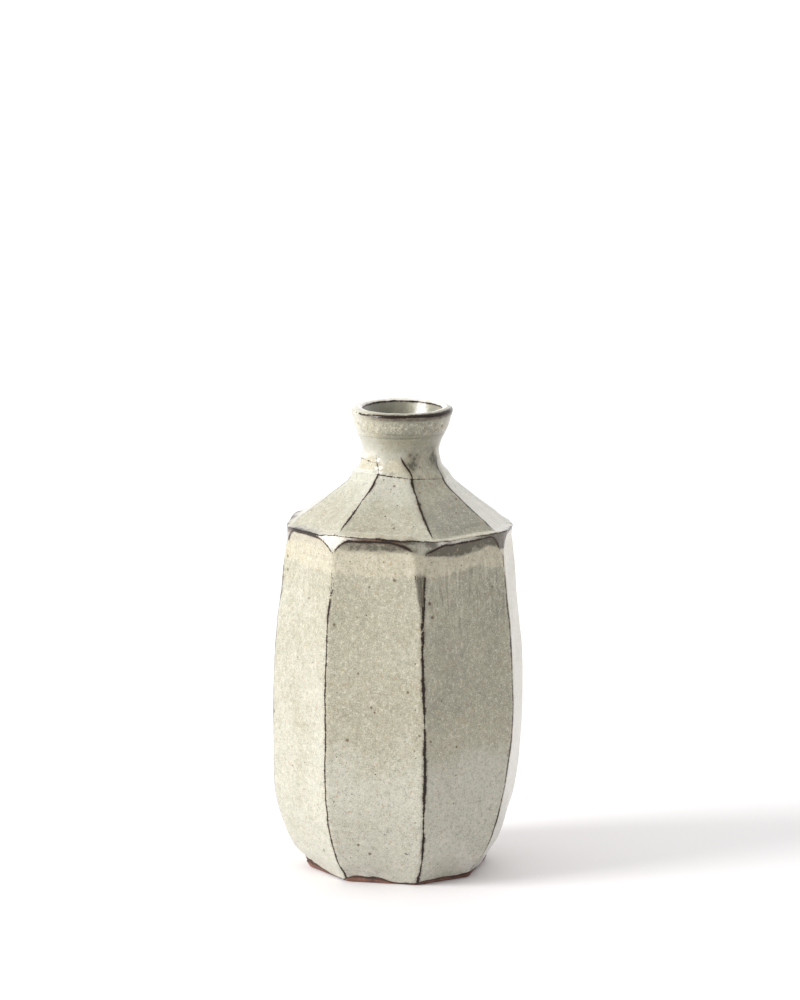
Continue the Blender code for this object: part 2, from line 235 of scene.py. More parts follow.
print("shaping the body")
body = {
    "ridges": (-80.0, -34.5, 11.5, 64.0, 100.0, 145.5, 191.5, 244.0),
    "ridgesAtFoot": (-80.0, -34.5, 12.5, 51.0, 100.0, 146.5, 190.0, 231.0),
    "leanBelow": 62.0,
    "leanShape": 1.7,
    "outline": (  # share of the lip's height, share of the belly's radius, at the corners
        (0.0, 0.725), (0.022, 0.758), (0.051, 0.806), (0.097, 0.861), (0.142, 0.896),
        (0.186, 0.932), (0.245, 0.963), (0.364, 0.994), (0.48, 1.0), (0.6, 0.994), (0.718, 0.968),
        (0.836, 0.93), (0.952, 0.899), (1.0, 0.888),
    ),
    # how far each ridge stands off that outline: height and millimetres
    "offsets": (
        ((0, -0.2), (8, 0.3), (16, 1.2), (24, 1.3), (38, 0.5),
         (56, 0), (90, 0), (106, -0.1), (116, -0.5)),
        ((0, -0.4), (8, 0.2), (16, 1.2), (24, 1.0), (38, 0.2), (56, 0), (90, 0), (116, 0)),
        ((0, 0), (20, 0.2), (56, 0), (116, 0)),
        ((0, -0.4), (8, -0.3), (16, 0.1), (24, -0.4), (38, -0.3),
         (56, 0), (90, 0.1), (106, 0.4), (116, 0.5)),
        ((0, -0.6), (8, -0.72), (16, -0.7), (24, -0.65), (38, -0.3),
         (56, 0), (90, 0.3), (106, 0.8), (116, 0.9)),
        ((0, 0), (16, 0.5), (30, 0), (116, 0)),
        ((0, 0), (16, -0.4), (30, 0), (116, 0)),
        ((0, 0), (16, 0.5), (30, 0), (90, 0), (116, -0.5)),
    ),
    "bow": (0.15, -0.22, -0.18, 0.1, -0.2, 0.12, -0.15, 0.1),
    "beltRadius": (  # of the thrown form under the lip, round the bottle
        (-80, 37.2), (-58, 37.7), (-30, 37.85), (58, 37.85), (84, 38.3), (110, 38.2),
        (160, 37.85), (220, 37.6), (250, 37.1),
    ),
    "cutAtLip": (36.8, 36.7, 36.15, 37.5, 36.8, 36.6, 36.5, 36.4),  # how far out each facet turns
    "spur": (3.4, 3.7, 3.1, 4.4, 3.2, 3.8, 3.0, 3.6),  # how far the belt reaches down each ridge
    "lip": (  # height over the lip line, round the bottle
        (-80, -0.5), (-71, 0.2), (-54, 0.7), (-44, 0.7), (-30, 0.8), (-16, 0.6), (-4, 0.9),
        (6, 0.9), (13, 0.1), (22, -0.6), (34, -0.8), (42, -0.6), (52, -0.2), (64, -0.2),
        (80, -0.9), (100, -1.7), (125, -0.4), (150, 0.5), (190, 0.2), (215, -0.3), (244, 0.2),
        (262, -0.2),
    ),
    "beltEdge": (  # height of the belt over the facets' upper edge
        (-80, 0.6), (-60, 0.7), (-48, 0.8), (-38, 1.2), (-20, 1.3), (-8, 1.0), (0, 0.6), (7, 0.6),
        (15, 1.1), (24, 1.3), (42, 1.3), (52, 1.0), (60, 0.7), (100, 0.8), (130, 1.1), (160, 0.6),
        (190, 1.0), (220, 0.8), (250, 0.9),
    ),
    # what is left of the thrown form down each ridge: height, half width, none below zero
    "strips": (
        ((0, -1), (88, -1), (97, 0.8), (106, -0.5), (112, -1)),
        ((0, -1), (93, -1), (97.4, 0), (101.5, 1.0), (105.7, 0.1), (108, -1), (112, -1)),
        ((0, -1), (74, -1), (85, 0.1), (95, 0.9), (103, 1.6), (108, 2.0), (112, 2.1), (116, 2.1)),
        ((0, -1), (100, -1), (107, -0.2), (112, 0.9), (116, 1.2)),
        ((0, -1), (66, -1), (76, 0.1), (90, 0.9), (104, 1.3), (112, 1.0), (116, 1.0)),
        ((0, -1), (94, -1), (103, 0.9), (110, -0.4), (116, -0.4)),
        ((0, -1), (78, -1), (88, 1.0), (96, -0.2), (104, 0.8), (112, 1.6), (116, 1.6)),
        ((0, -1), (95, -1), (104, 1.2), (112, 0.6), (116, 0.6)),
    ),
    "stripShade": (0.5, 0.35, 0.75, 0.8, 0.8, 0.6, 0.9, 0.7),
    "spurShade": (0.3, 0.0, 0.35, 1.0, 0.6, 0.2, 0.8, 0.5),
    "ridgeIron": (0.3, 0.27, 0.42, 0.28, 0.4, 0.32, 0.45, 0.35),  # half width of the brown line
    "ridgeIronStarts": (100, 106.5, 110, 116, 104, 108, 100, 106),  # no line over this height
    "lipIron": (
        (-80, 0.4), (-62, 0.5), (-48, 0.5), (-42, 0.32), (-35, 0.26), (-30, 0.32), (-22, 0.5),
        (-8, 0.55), (4, 0.45), (9, 0.25), (14, 0.2), (17, 0.45), (22, 0.5), (34, 0.36),
        (50, 0.32), (62, 0.3), (80, 0.35), (110, 0.3), (150, 0.45), (190, 0.4), (230, 0.35),
        (262, 0.4),
    ),
    "seamIron": (
        (-80, 0.5), (-50, 0.45), (-42, 0.22), (-12, 0.24), (-4, 0.4), (6, 0.42), (12, 0.25),
        (20, 0.15), (50, 0.1), (66, 0.3), (140, 0.2), (200, 0.3), (235, 0.5), (262, 0.6),
    ),
    "beltRust": (
        (-80, 0.3), (-50, 0.4), (-43, 0.05), (-28, 0.0), (-20, 0.7), (-10, 1.0), (-2, 0.6),
        (6, 0.0), (60, 0.0), (75, 0.3), (150, 0.6), (220, 0.3),
    ),
    "beltShade": (
        (-80, 1.0), (-52, 1.0), (-45, 0.2), (-34, 0.0), (-22, 0.05), (-12, 0.3), (-4, 0.7),
        (6, 0.9), (9.5, 0.4), (13, 0.5), (16, 1.0), (19, 0.9), (22, 0.2), (27, 0.5), (32, 0.2),
        (42, 0.25), (50, 0.7), (64, 1.0), (80, 0.7), (140, 0.3), (190, 0.6), (240, 0.8),
    ),
    # the white on the left spur is a painted reflection of the lamp, over the belt's own tone
    "beltToneAndHighlight": (
        (-80, 0.2), (-52, 0.4), (-43, 1.7), (-28, 1.6), (-18, 1.0), (-6, 0.3), (10, 0.5),
        (22, 1.6), (34, 1.4), (46, 0.6), (60, 0.0), (100, 0.3), (180, 0.8), (240, 0.3),
    ),
    # dark under the lip, most on the front right: partly thin glaze, partly painted shade under the lip
    "smokeAndShade": (
        (-50, 0.0), (-33, 0.1), (-28, 0.55), (-18, 0.65), (-6, 0.75), (5, 0.95), (9, 0.5),
        (14, 0.75), (19, 1.7), (32, 1.7), (40, 1.5), (47, 1.1), (54, 1.1), (60, 1.4), (66, 1.0),
        (72, 0.1), (100, 0.2), (120, 0.8), (140, 0.5), (160, 0.9), (190, 0.6), (215, 0.9),
        (240, 0.3), (262, 0.0),
    ),
    "smokeAndShadeDepth": 5.0,
    "creamFrom": 106.2,
    # each facet's tone: painted light on the lit left facet, a painted reflection on the far right one and
    # painted shade on the front right one, over the glaze's own tone
    "toneAndPaintedLight": (0.42, 0.02, -0.35, 0.5, 0.0, 0.15, -0.1, 0.3),
    "lowToneAndBounce": (0.1, 0.8, 1.25, 0.2, 0.3, 0.2, 0.3, 0.2),  # added towards the foot: paler glaze, and painted light bounced from the floor
    "drag": (0.1, 0.35, 1.0, 0.3, 0.6, 0.4, 0.8, 0.3),  # streaks under the cream band
    "footEdge": (  # height of the glaze's lower edge round the foot
        (-80, 2.0), (-70, 1.9), (-58, 1.0), (-46, 0.5), (-38, 0.4), (-34, 1.3), (-30, 1.9),
        (-20, 1.75), (-10, 1.25), (-4, 0.55), (3, 0.35), (9, 0.4), (14, 0.9), (24, 1.25),
        (40, 1.3), (50, 1.5), (62, 1.2), (80, 0.6), (100, 1.4), (130, 1.0), (146, 1.9),
        (170, 1.0), (190, 0.5), (210, 1.4), (240, 1.8),
    ),
    "coat": 0.42,
    # rows of the mesh (low, high, spacing), closest under the lip
    "rows": ((0, 3, 0.35), (3, 20, 0.75), (20, 96, 0.9), (96, 108, 0.5)),
    "rowsAtLip": (108, 0.2),
    "topOverLip": 1.0,
    "footBlend": 9,  # the foot's edge and the seam bend the rows over these heights
    "seamBlend": 16,
    "lipReach": 37,
    "footReach": 30,
    "thinnestFoot": 0.35,
    # creases and swellings: amount, middle, reach
    "ridgeGroove": (-0.24, 0, 0.5),
    "ridgeSwell": (0.05, 1.7, 0.9),
    "cutGroove": (-0.14, 0, 0.22),
    "footRoll": (0.08, 0.9, 0.7),
    "footTuck": (-0.2, 0, 0.3),
    "bowFades": (96, 112),
    "cutShows": (-0.2, 0.3),
    "lipShows": (0.0, 0.3),
    "lipBlend": (-1.0, 0.5),
    "beltFlare": 0.32,
    "rimSoft": 0.3,
    "stripSoft": 0.05,
    "cutSoft": 0.12,
    "turnSoft": 0.01,
    "slopeSoft": 0.02,
    # unevenness: seed, size, amount
    "ridgesWander": ((40, 34, 0.45), (60, 9, 0.16)),
    "lipRagged": ((21, 14, 0.11), (22, 3.6, 0.07)),
    "seamRagged": ((23, 9, 0.05), (24, 3, 0.05)),
    "footRagged": ((3, 24, 0.1), (4, 7, 0.09)),
    "stripRagged": ((13, 8, 0.25),),
    "beltUneven": ((12, 18, 0.06),),
    "faceUneven": ((14, 26, 0.10), (15, 6, 0.03)),
    "ironUneven": ((16, 14, 0.4), (17, 3.5, 0.28)),
    "lipIronUneven": ((18, 5, 0.3),),
    "seamIronUneven": ((19, 4, 0.35),),
    "smokeAndShadeUneven": ((19, 12, 0.7),),
    "smokeAndShadeRagged": ((39, 4, 0.4),),
    "creamUneven": ((20, 26, 0.9),),
    "toneUneven": ((31, 34, 0.14),),
    # iron at the edges
    "ridgeIronFades": (2.5, 0.5),
    "cutIron": (0.3, 0.1),  # at the right and at the left of a strip
    "cutIronShare": (1, 0.35, 1, 1, 1, 1, 1, 1),
    "stripEnds": (105, 108),
    "stripShows": -0.3,
    "seamIronFades": (4, 1),
    "footIron": (0.22, 6),  # half width, and only under this height
    # colours
    "smokeAndShadeFades": (0.35, 1.0),
    "creamBlend": 1.1,
    "stripFades": 0.75,
    "spurFrom": 1.2,  # under the lip
    "spurEdge": (1.5, 0, 0.8),
    "rustFades": (1.6, 0.6),
    "lowToneAndBounceFades": (34, 62),
    # paler near the foot: the glaze's own, and painted light bounced from the floor
    "footToneAndBounce": (0.4, 4, 20),
    "besideLeftRidge": (-0.25, 0, 5),
    "besideMiddleRidge": (0.25, 0, 8),
    "besideMiddleFrom": (60, 85),
    "underCream": (-0.3, 102, 5),
    "dragFrom": (80, 96),
    "dragEnds": (107, 110),
}
columns = facetColumns(36)
bellyRadius = bodyHigh.x / mm / math.cos(math.radians(body["ridges"][0] + 90))


def cornerRadius(z):
    return bellyRadius * along(body["outline"], np.clip(z / lipLine, 0, 1))


def bodyRidges(z):
    share = (1 - np.clip(z / body["leanBelow"], 0, 1)) ** body["leanShape"]
    straight, atFoot = np.array(body["ridges"]), np.array(body["ridgesAtFoot"])
    ridges = straight + share[:, None] * (atFoot - straight)
    for k in range(8):
        wander = [(seed + k, size, amount) for seed, size, amount in body["ridgesWander"]]
        ridges[:, k] += uneven(wander, 0, 0, z)
    return ridges


def flatCut(heights, k, share, width):
    # the radius of each corner, eased along the straight cut between two of them, and of that cut
    offsets = np.stack([along(points, heights) for points in body["offsets"]], axis=1)
    corners = cornerRadius(heights)[:, None] + offsets
    start, end = corners[:, k], corners[:, (k + 1) % 8]
    straight = np.sin(width) / (np.sin(share * width) / end + np.sin((1 - share) * width) / start)
    return start + (end - start) * share, straight


def rimRadius(azimuth):
    # the lip seen from above: the thrown belt, trimmed a little by each facet
    ridges = np.array([*body["ridges"], body["ridges"][0] + 360])
    turn = (np.degrees(azimuth) - ridges[0]) % 360 + ridges[0]
    k = np.clip(np.searchsorted(ridges, turn, side="right") - 1, 0, 7)
    across = np.radians(turn - (ridges[k] + ridges[k + 1]) / 2)
    trimmed = np.array(body["cutAtLip"])[k] / np.cos(across)
    return lesser(around(body["beltRadius"], azimuth), trimmed, body["rimSoft"])


def lipHeight(azimuth):
    ragged = uneven(body["lipRagged"], *onCircle(body["lipReach"], azimuth), 0)
    return lipLine + around(body["lip"], azimuth) + ragged


def seamHeight(azimuth):
    # where the shoulder's bead sits on the belt
    ragged = uneven(body["seamRagged"], *onCircle(body["lipReach"], azimuth), 0)
    return lipHeight(azimuth) + around(body["beltEdge"], azimuth) + ragged


def footLine(azimuth):
    # the height of the glaze's lower edge round the foot
    ragged = uneven(body["footRagged"], *onCircle(body["footReach"], azimuth), 0)
    return np.maximum(around(body["footEdge"], azimuth) + ragged, body["thinnestFoot"])


def bodySurface():
    top = lipLine + body["topOverLip"]
    lastRun, lastSpacing = body["rowsAtLip"]
    heights = stretches(*body["rows"], (lastRun, top, lastSpacing))
    k, share, azimuth, width = facetPlaces(columns, bodyRidges(heights))
    z = np.repeat(heights[:, None], len(columns), axis=1)
    edge = footLine(azimuth[0])
    z = z + edge * (1 - ease(0, body["footBlend"], z))
    lipZ, seamZ = lipHeight(azimuth), seamHeight(azimuth)
    z = z + (seamZ[-1] - top) * ease(top - body["seamBlend"], top, z)

    # the flat cuts, which turn outwards to the lip
    corner, straight = flatCut(heights, k, share, width)
    across = (share - 0.5) * width
    middle = corner * np.cos(width / 2)
    spur = np.array(body["spur"])
    reach = spur[k] * (1 - share) + spur[(k + 1) % 8] * share
    turned = (z - lipZ) / reach + 1
    turned = 0.5 * (turned + np.sqrt(turned**2 + body["turnSoft"]))
    bow = np.array(body["bow"])[k] * 4 * share * (1 - share) * (1 - ease(*body["bowFades"], z))
    flat = straight + ((np.array(body["cutAtLip"])[k] - middle) * turned + bow) / np.cos(across)

    # the thrown form, which they leave at the lip and along some ridges
    x, y = onCircle(corner, azimuth)
    near = (np.floor(share + 0.5).astype(int) + k) % 8
    toRidge = np.minimum(share, 1 - share) * width * corner
    half = np.stack([along(points, heights) for points in body["strips"]], axis=1)
    half = np.take_along_axis(half, np.broadcast_to(near, z.shape), axis=1)
    half = half + uneven(body["stripRagged"], x, y, z)
    belt = rimRadius(azimuth) + uneven(body["beltUneven"], x, y, z)
    belt = belt + body["beltFlare"] * np.maximum(0, lipZ - reach - z)
    thrown = lesser(belt, corner - half * math.tan(math.pi / 8), body["stripSoft"])
    left = flat - thrown
    surface = lesser(flat, thrown, body["cutSoft"])

    # signed distance to the edge between the two
    upward = np.gradient(left, axis=0) / np.gradient(z, axis=0)
    turn = (np.roll(azimuth, -1, 1) - np.roll(azimuth, 1, 1)) % (2 * math.pi)
    sideways = (np.roll(left, -1, 1) - np.roll(left, 1, 1)) / (turn * corner)
    toCut = left / np.sqrt(upward**2 + sideways**2 + body["slopeSoft"])
    cutAway = np.maximum(ease(*body["cutShows"], left), ease(*body["lipShows"], z - lipZ))
    atLip = ease(*body["lipBlend"], z - lipZ + reach)

    surface = surface + swell(toRidge, *body["ridgeGroove"]) * (1 - cutAway) * (1 - atLip)
    surface = surface + swell(toRidge, *body["ridgeSwell"])
    surface = surface + swell(toCut, *body["cutGroove"]) * atLip
    surface = surface + uneven(body["faceUneven"], x, y, z)
    surface = surface + swell(z - edge, *body["footRoll"]) + swell(z - edge, *body["footTuck"])

    # where iron shows: down the ridges, along the cuts, at the seam and at the glaze's lower edge
    wander = 1 + uneven(body["ironUneven"], x, y, z)
    starts = np.array(body["ridgeIronStarts"])[near]
    below, above = body["ridgeIronFades"]
    ridgeIron = np.array(body["ridgeIron"])[near] * wander * (1 - ease(starts - below, starts + above, z))
    ridgeIron = np.where(cutAway > 0.5, 0, ridgeIron)
    cutIron = np.where(share < 0.5, *body["cutIron"]) * wander * np.array(body["cutIronShare"])[near]
    cutIron = cutIron * (1 - ease(*body["stripEnds"], z)) * (half > body["stripShows"])
    lipIron = around(body["lipIron"], azimuth) * (1 + uneven(body["lipIronUneven"], x, y, z))
    seamIron = around(body["seamIron"], azimuth) * (1 + uneven(body["seamIronUneven"], x, y, z))
    footIron, footOnly = body["footIron"]
    line, iron = closest(
        (toRidge, ridgeIron),
        (np.abs(toCut), cutIron * (1 - atLip) + lipIron * atLip),
        (np.maximum(seamZ - z, 0), seamIron * ease(*body["seamIronFades"], seamZ - z) + noIron),
        (np.abs(z - edge), np.where(z < footOnly, footIron, noIron)),
    )

    # smoky under the lip, partly thin glaze and partly painted shade under the lip's overhang; cream below
    # that, dark and thin on the thrown form
    underLip = lipZ - z
    belted = cutAway * atLip
    depth = body["smokeAndShadeDepth"] + uneven(body["smokeAndShadeUneven"], x, y, 0) + uneven(body["smokeAndShadeRagged"], x, y, z)
    smokeAndShade = around(body["smokeAndShade"], azimuth) * (1 - ease(*body["smokeAndShadeFades"], underLip / depth))
    smokeAndShade = smokeAndShade * (1 - belted)
    overCream = z - body["creamFrom"] + uneven(body["creamUneven"], x, y, 0)
    cream = ease(-body["creamBlend"], body["creamBlend"], overCream) * (1 - smokeAndShade) * (1 - belted)
    fades = 1 - body["stripFades"] * ease(*body["stripEnds"], z)
    shade = np.array(body["stripShade"])[near] * fades * (1 - atLip)
    spurShade = np.array(body["spurShade"])[near] * ease(0, body["spurFrom"], underLip)
    spurShade = spurShade * (1 + swell(toCut, *body["spurEdge"]))
    beltShade = around(body["beltShade"], azimuth) * ease(body["spurFrom"], 0, underLip)

    # painted light and shade facet by facet, and painted floor bounce towards the foot, over the glaze's
    # tone
    footToneAndBounce, *footHeights = body["footToneAndBounce"]
    toneAndPaintedLight = np.array(body["lowToneAndBounce"])[k] * (1 - ease(*body["lowToneAndBounceFades"], z))
    toneAndPaintedLight = toneAndPaintedLight + np.array(body["toneAndPaintedLight"])[k] + footToneAndBounce * (1 - ease(*footHeights, z))
    besideLeft = swell(share * width * corner, *body["besideLeftRidge"])
    besideMiddle = swell((1 - share) * width * corner, *body["besideMiddleRidge"])
    besideMiddle = besideMiddle * ease(*body["besideMiddleFrom"], z)
    toneAndPaintedLight = toneAndPaintedLight + (besideLeft + besideMiddle) * (k == 1) + swell(z, *body["underCream"]) * (k == 0)
    toneAndPaintedLight = toneAndPaintedLight + uneven(body["toneUneven"], x, y, z)
    drag = np.array(body["drag"])[k] * ease(*body["dragFrom"], z) * (1 - ease(*body["dragEnds"], z))
    marks = {
        "line": line,
        "iron": iron,
        "smokeAndShade": smokeAndShade,
        "cream": cream,
        "thin": cutAway * (shade + (spurShade + beltShade) * atLip),
        "rust": belted * around(body["beltRust"], azimuth) * ease(*body["rustFades"], underLip),
        # on the belt the tone includes the painted reflection on the left spur
        "toneAndPaintedLight": toneAndPaintedLight + belted * (around(body["beltToneAndHighlight"], azimuth) - toneAndPaintedLight),
        "drag": drag + belted,
    }
    return spread(azimuth, surface, z), marks


bodyOuter, marks = bodySurface()
last = len(bodyOuter) - 1
rows = sorted({0, 2, 5, *range(8, last - 40, 8), *range(last - 40, last, 4), last})
bodyGlaze = skinned("body_glaze_coat", bodyOuter, marks, body["coat"], rows)


print("shaping the shoulder")
shoulder = {
    "ridgesAtLip": (-79.0, -34.0, 18.5, 60.0, 102.0, 147.0, 196.0, 240.0),
    "ridgesAtNeck": (-82.0, -30.0, 13.8, 57.0, 98.0, 149.0, 192.0, 232.0),
    "profile": (  # height over the lip line, radius halfway across the facets
        (-1.6, 37.6), (0.2, 35.5), (1.5, 34.0), (3.0, 32.1), (4.4, 30.6), (5.7, 28.8),
        (7.2, 26.8), (8.6, 24.9), (10.0, 23.1), (11.5, 21.3), (12.9, 19.5), (14.3, 17.9),
        (15.8, 16.4), (17.3, 15.4), (18.5, 14.55), (19.8, 13.75),
    ),
    "halfFacet": 22.5,
    "followsLip": 0.5,  # how far the profile rises and falls with the lip
    "bead": 0.15,
    "ridgeIron": (0.22, 0.34, 0.42, 0.38, 0.3, 0.4, 0.5, 0.35),
    "ridgeIronStarts": 0.9,  # over the seam
    # each facet's tone, with painted light on the lit ones and painted shade on the front right one
    "toneAndPaintedLight": (0.2, 0.15, -0.75, 0.4, 0.0, 0.15, -0.2, 0.3),
    "shiftTowardsTop": (0.7, 1.05, 0.9, 0.2, 0.2, 0.2, 0.2, 0.2),  # added towards the neck: paler on the front and left facets, painted light over the glaze's tone
    "coat": 0.45,
    # rows of the mesh (share of the climb: low, high, spacing), closest at the bead
    "rows": ((0, 0.06, 0.006), (0.06, 0.12, 0.012), (0.12, 1, 0.018)),
    "overSeam": 0.03,
    "reach": 30,
    "beadOver": 0.3,
    "beadTop": (0.75, 0.15),
    "beadSoft": 0.2,
    "clearOfBead": 0.5,
    "meetsNeck": 0.88,  # from this share of the climb the skin eases to the neck's
    # creases: amount, middle, reach
    "ridgeGroove": (-0.16, 0, 0.6),
    "leftStep": (-0.05, 124.9, 0.25),
    "middleStep": (-0.05, 129, 0.25),
    "stepSlants": (0.02, 0.012),
    # unevenness: seed, size, amount
    "ridgesWander": (80, 11, 0.5, 18),  # the last is the climb in millimetres
    "beadUneven": ((32, 6, 0.06),),
    "faceUneven": ((34, 15, 0.09),),
    "fineUneven": ((35, 5, 0.03),),
    "ironUneven": ((36, 9, 0.35), (37, 3, 0.3)),
    "toneUneven": ((38, 24, 0.12),),
    "ridgeIronGrows": 1.4,
    "seamIronShare": 0.8,
    "seamIronWithin": 2,
    # colours: amount, middle, reach
    "beadTone": (1.8, 0.45, 0.45),
    "beadCream": (1.0, 0.5, 0.42),
    "beadBright": (0.5, (0.5, -22, 22), (0.5, 43, 12)),  # everywhere, and more at two places
    "smokeAndShade": 0.1,
    "ridgeSmoke": (0.25, 0, 2.2),
    "ridgeSmokeFrom": (3, 6),
    "shiftTowardsTopFrom": (0.3, 0.9),
}


def neckSeam(azimuth):
    # where the neck meets the shoulder: higher at the left
    return neckLine + around(neck["seam"], azimuth)


def shoulderSurface():
    climbs = stretches(*shoulder["rows"])
    atLip, atNeck = np.array(shoulder["ridgesAtLip"]), np.array(shoulder["ridgesAtNeck"])
    ridges = atLip + climbs[:, None] * (atNeck - atLip)
    seed, size, amount, climb = shoulder["ridgesWander"]
    for k in range(8):
        ridges[:, k] += amount * waver(seed + k, 0, 0, climbs * climb, size)
    k, share, azimuth, width = facetPlaces(columns, ridges)
    seamZ = seamHeight(azimuth) + shoulder["overSeam"]
    top = neckSeam(azimuth)
    z = seamZ + (top - seamZ) * climbs[:, None]
    above = z - seamZ
    x, y = onCircle(shoulder["reach"], azimuth)
    rise = shoulder["followsLip"] * (seamZ - lipLine - body["topOverLip"]) * (1 - climbs[:, None])
    corner = along(shoulder["profile"], z - lipLine - rise)
    corner = corner / math.cos(math.radians(shoulder["halfFacet"]))
    flat = corner * np.cos(width / 2) / np.cos((share - 0.5) * width)
    bead = rimRadius(azimuth) + shoulder["bead"] + uneven(shoulder["beadUneven"], x, y, 0)
    raised = flat + (bead + shoulder["beadOver"] - flat) * ease(*shoulder["beadTop"], above)
    surface = lesser(raised, bead, shoulder["beadSoft"])
    toRidge = np.minimum(share, 1 - share) * width * corner
    clear = shoulder["clearOfBead"]
    leftSlant, middleSlant = shoulder["stepSlants"]
    surface = surface + swell(toRidge, *shoulder["ridgeGroove"]) * ease(clear, 2, above)
    surface = surface + uneven(shoulder["faceUneven"], x, y, z) * ease(clear, 3, above)
    surface = surface + uneven(shoulder["fineUneven"], x, y, z)
    surface = surface + swell(z - leftSlant * x, *shoulder["leftStep"]) * (k == 0)
    surface = surface + swell(z - middleSlant * x, *shoulder["middleStep"]) * (k == 1)
    meets = ease(shoulder["meetsNeck"], 1, climbs)[:, None]
    surface = surface + (radii(neckOuter[0]) - surface[-1]) * meets

    near = (np.floor(share + 0.5).astype(int) + k) % 8
    starts = shoulder["ridgeIronStarts"]
    ridgeIron = np.array(shoulder["ridgeIron"])[near] * (1 + uneven(shoulder["ironUneven"], x, y, z))
    ridgeIron = ridgeIron * ease(starts, starts + shoulder["ridgeIronGrows"], above)
    seamIron = around(body["seamIron"], azimuth) * (1 + uneven(body["seamIronUneven"], x, y, z))
    seamIron = seamIron * shoulder["seamIronShare"]
    neckIron = around(neck["seamIron"], azimuth)
    within = shoulder["seamIronWithin"]
    line, iron = closest(
        (toRidge, ridgeIron),
        (above, np.where(above < within, seamIron, noIron)),
        (top - z, np.where(top - z < within, neckIron, noIron)),
    )
    turn = np.degrees(azimuth)
    beadShare, *places = shoulder["beadBright"]
    beadShare = beadShare + sum(swell(turn, *place) for place in places)
    toneAndPaintedLight = np.array(shoulder["shiftTowardsTop"])[k] * ease(*shoulder["shiftTowardsTopFrom"], climbs)[:, None]
    toneAndPaintedLight = toneAndPaintedLight + np.array(shoulder["toneAndPaintedLight"])[k] + swell(above, *shoulder["beadTone"]) * beadShare
    smokeAndShade = swell(toRidge, *shoulder["ridgeSmoke"]) * ease(*shoulder["ridgeSmokeFrom"], above)
    nothing = np.zeros(z.shape)
    marks = {
        "line": line,
        "iron": iron,
        "smokeAndShade": shoulder["smokeAndShade"] + smokeAndShade * (near == 2),
        "cream": swell(above, *shoulder["beadCream"]) * beadShare,
        "thin": nothing,
        "rust": nothing,
        "toneAndPaintedLight": toneAndPaintedLight + uneven(shoulder["toneUneven"], x, y, z),
        "drag": nothing,
    }
    return spread(azimuth, surface, z), marks


neck = {
    "ridges": (  # for each ridge, height over the neck's foot and azimuth
        ((0, -82), (4, -88), (13, -91)),
        ((0, -30), (4.4, -37.5), (12, -43)),
        ((0, 13.8), (1.2, 13.4), (2.2, 11.8), (3.6, 7.5), (5.2, 3.2), (8, -2), (13, -3)),
        ((0, 57), (3, 61), (8, 66), (13, 68)),
        ((0, 98), (5, 92), (13, 88)),
        ((0, 149), (5, 141), (13, 136)),
        ((0, 192), (5, 185), (13, 181)),
        ((0, 232), (5, 237), (13, 240)),
    ),
    "cut": ((-1.5, 17.7), (0, 16.6), (2.35, 14.9), (5.05, 14.0), (7.5, 14.2), (9.5, 15.0), (13.2, 18.0)),
    "thrown": ((-1.5, 17.3), (0, 16.2), (2.35, 14.0), (5.05, 13.1), (7.75, 12.7),
               (10.35, 13.3), (13.2, 14.6)),
    "ridgeIron": (0.08, 0.14, 0.5, 0.45, 0.3, 0.3, 0.45, 0.35),
    "seam": (  # height over the CAD's joint
        (-90, 0.3), (-60, 0.7), (-32, 1.2), (-10, 0.75), (16, 0.1), (57, -0.75), (100, -0.4),
        (180, 0.2), (230, -0.1),
    ),
    "seamIron": (
        (-80, 0.001), (-36, 0.001), (-30, 0.14), (-10, 0.11), (16, 0.09), (40, 0.06), (57, 0.05),
        (66, 0.001), (160, 0.1), (230, 0.001),
    ),
    "coat": 0.45,
    "spacing": 0.25,
    "reach": 15,
    "widestCut": 1.0,  # radians
    "cutSoft": 0.5,
    "cutShows": (-0.35, 0.45),
    "ridgeGroove": (-0.12, 0, 0.5),
    # unevenness: seed, size, amount
    "thrownUneven": ((41, 14, 0.1),),
    "faceUneven": ((42, 9, 0.05), (43, 3.5, 0.03)),
    "ironUneven": ((44, 7, 0.4),),
    "creamUneven": ((46, 9, 1.0),),
    "smokeAndShadeUneven": ((47, 3, 0.3),),
    # the fine step across the left facet
    "step": {
        "height": 139,
        "slant": 0.02,
        "drop": 0.07,
        "edge": (0.1, -0.1),
        "run": (-1.8, -0.3),
        "iron": 0.09,
        "left": -95,
        "right": -38,
    },
    "ridgeIronFades": (4.0, 8.0),
    "seamIronWithin": 2,
    # smudges: amount, azimuth, reach, height over the joint, reach
    "smudges": ((0.75, 15, 11, 5.0, 3.6), (0.6, 58, 9, 5.0, 3.6), (0.3, 200, 14, 5, 4)),
    "haze": {"amount": 0.3, "starts": (12, 30), "ends": (66, 58), "height": (7, 3.5)},
    "smokeAndShade": 0.9,
    "cream": 0.9,
    "creamFrom": (0.6, 1.6),
    "creamTo": (4.5, 7.0),
    "creamTurns": (60, 20),
    "thin": 0.25,
    "toneAndPaintedLight": 0.65,
    # paler on the lit left and darker at the front right: painted light and shade
    "paintedLightLeft": (0.7, -15, -50),
    "paintedShadeRight": (-0.8, -5, 30),
    "paintedShadeRightEnds": (120, 80),
    "shiftTowardsTop": (-0.3, 7, 10),
    # a painted highlight beside the left ridge
    "paintedGlint": (1.7, -29, 4.5, 3.2, 2.4),
}
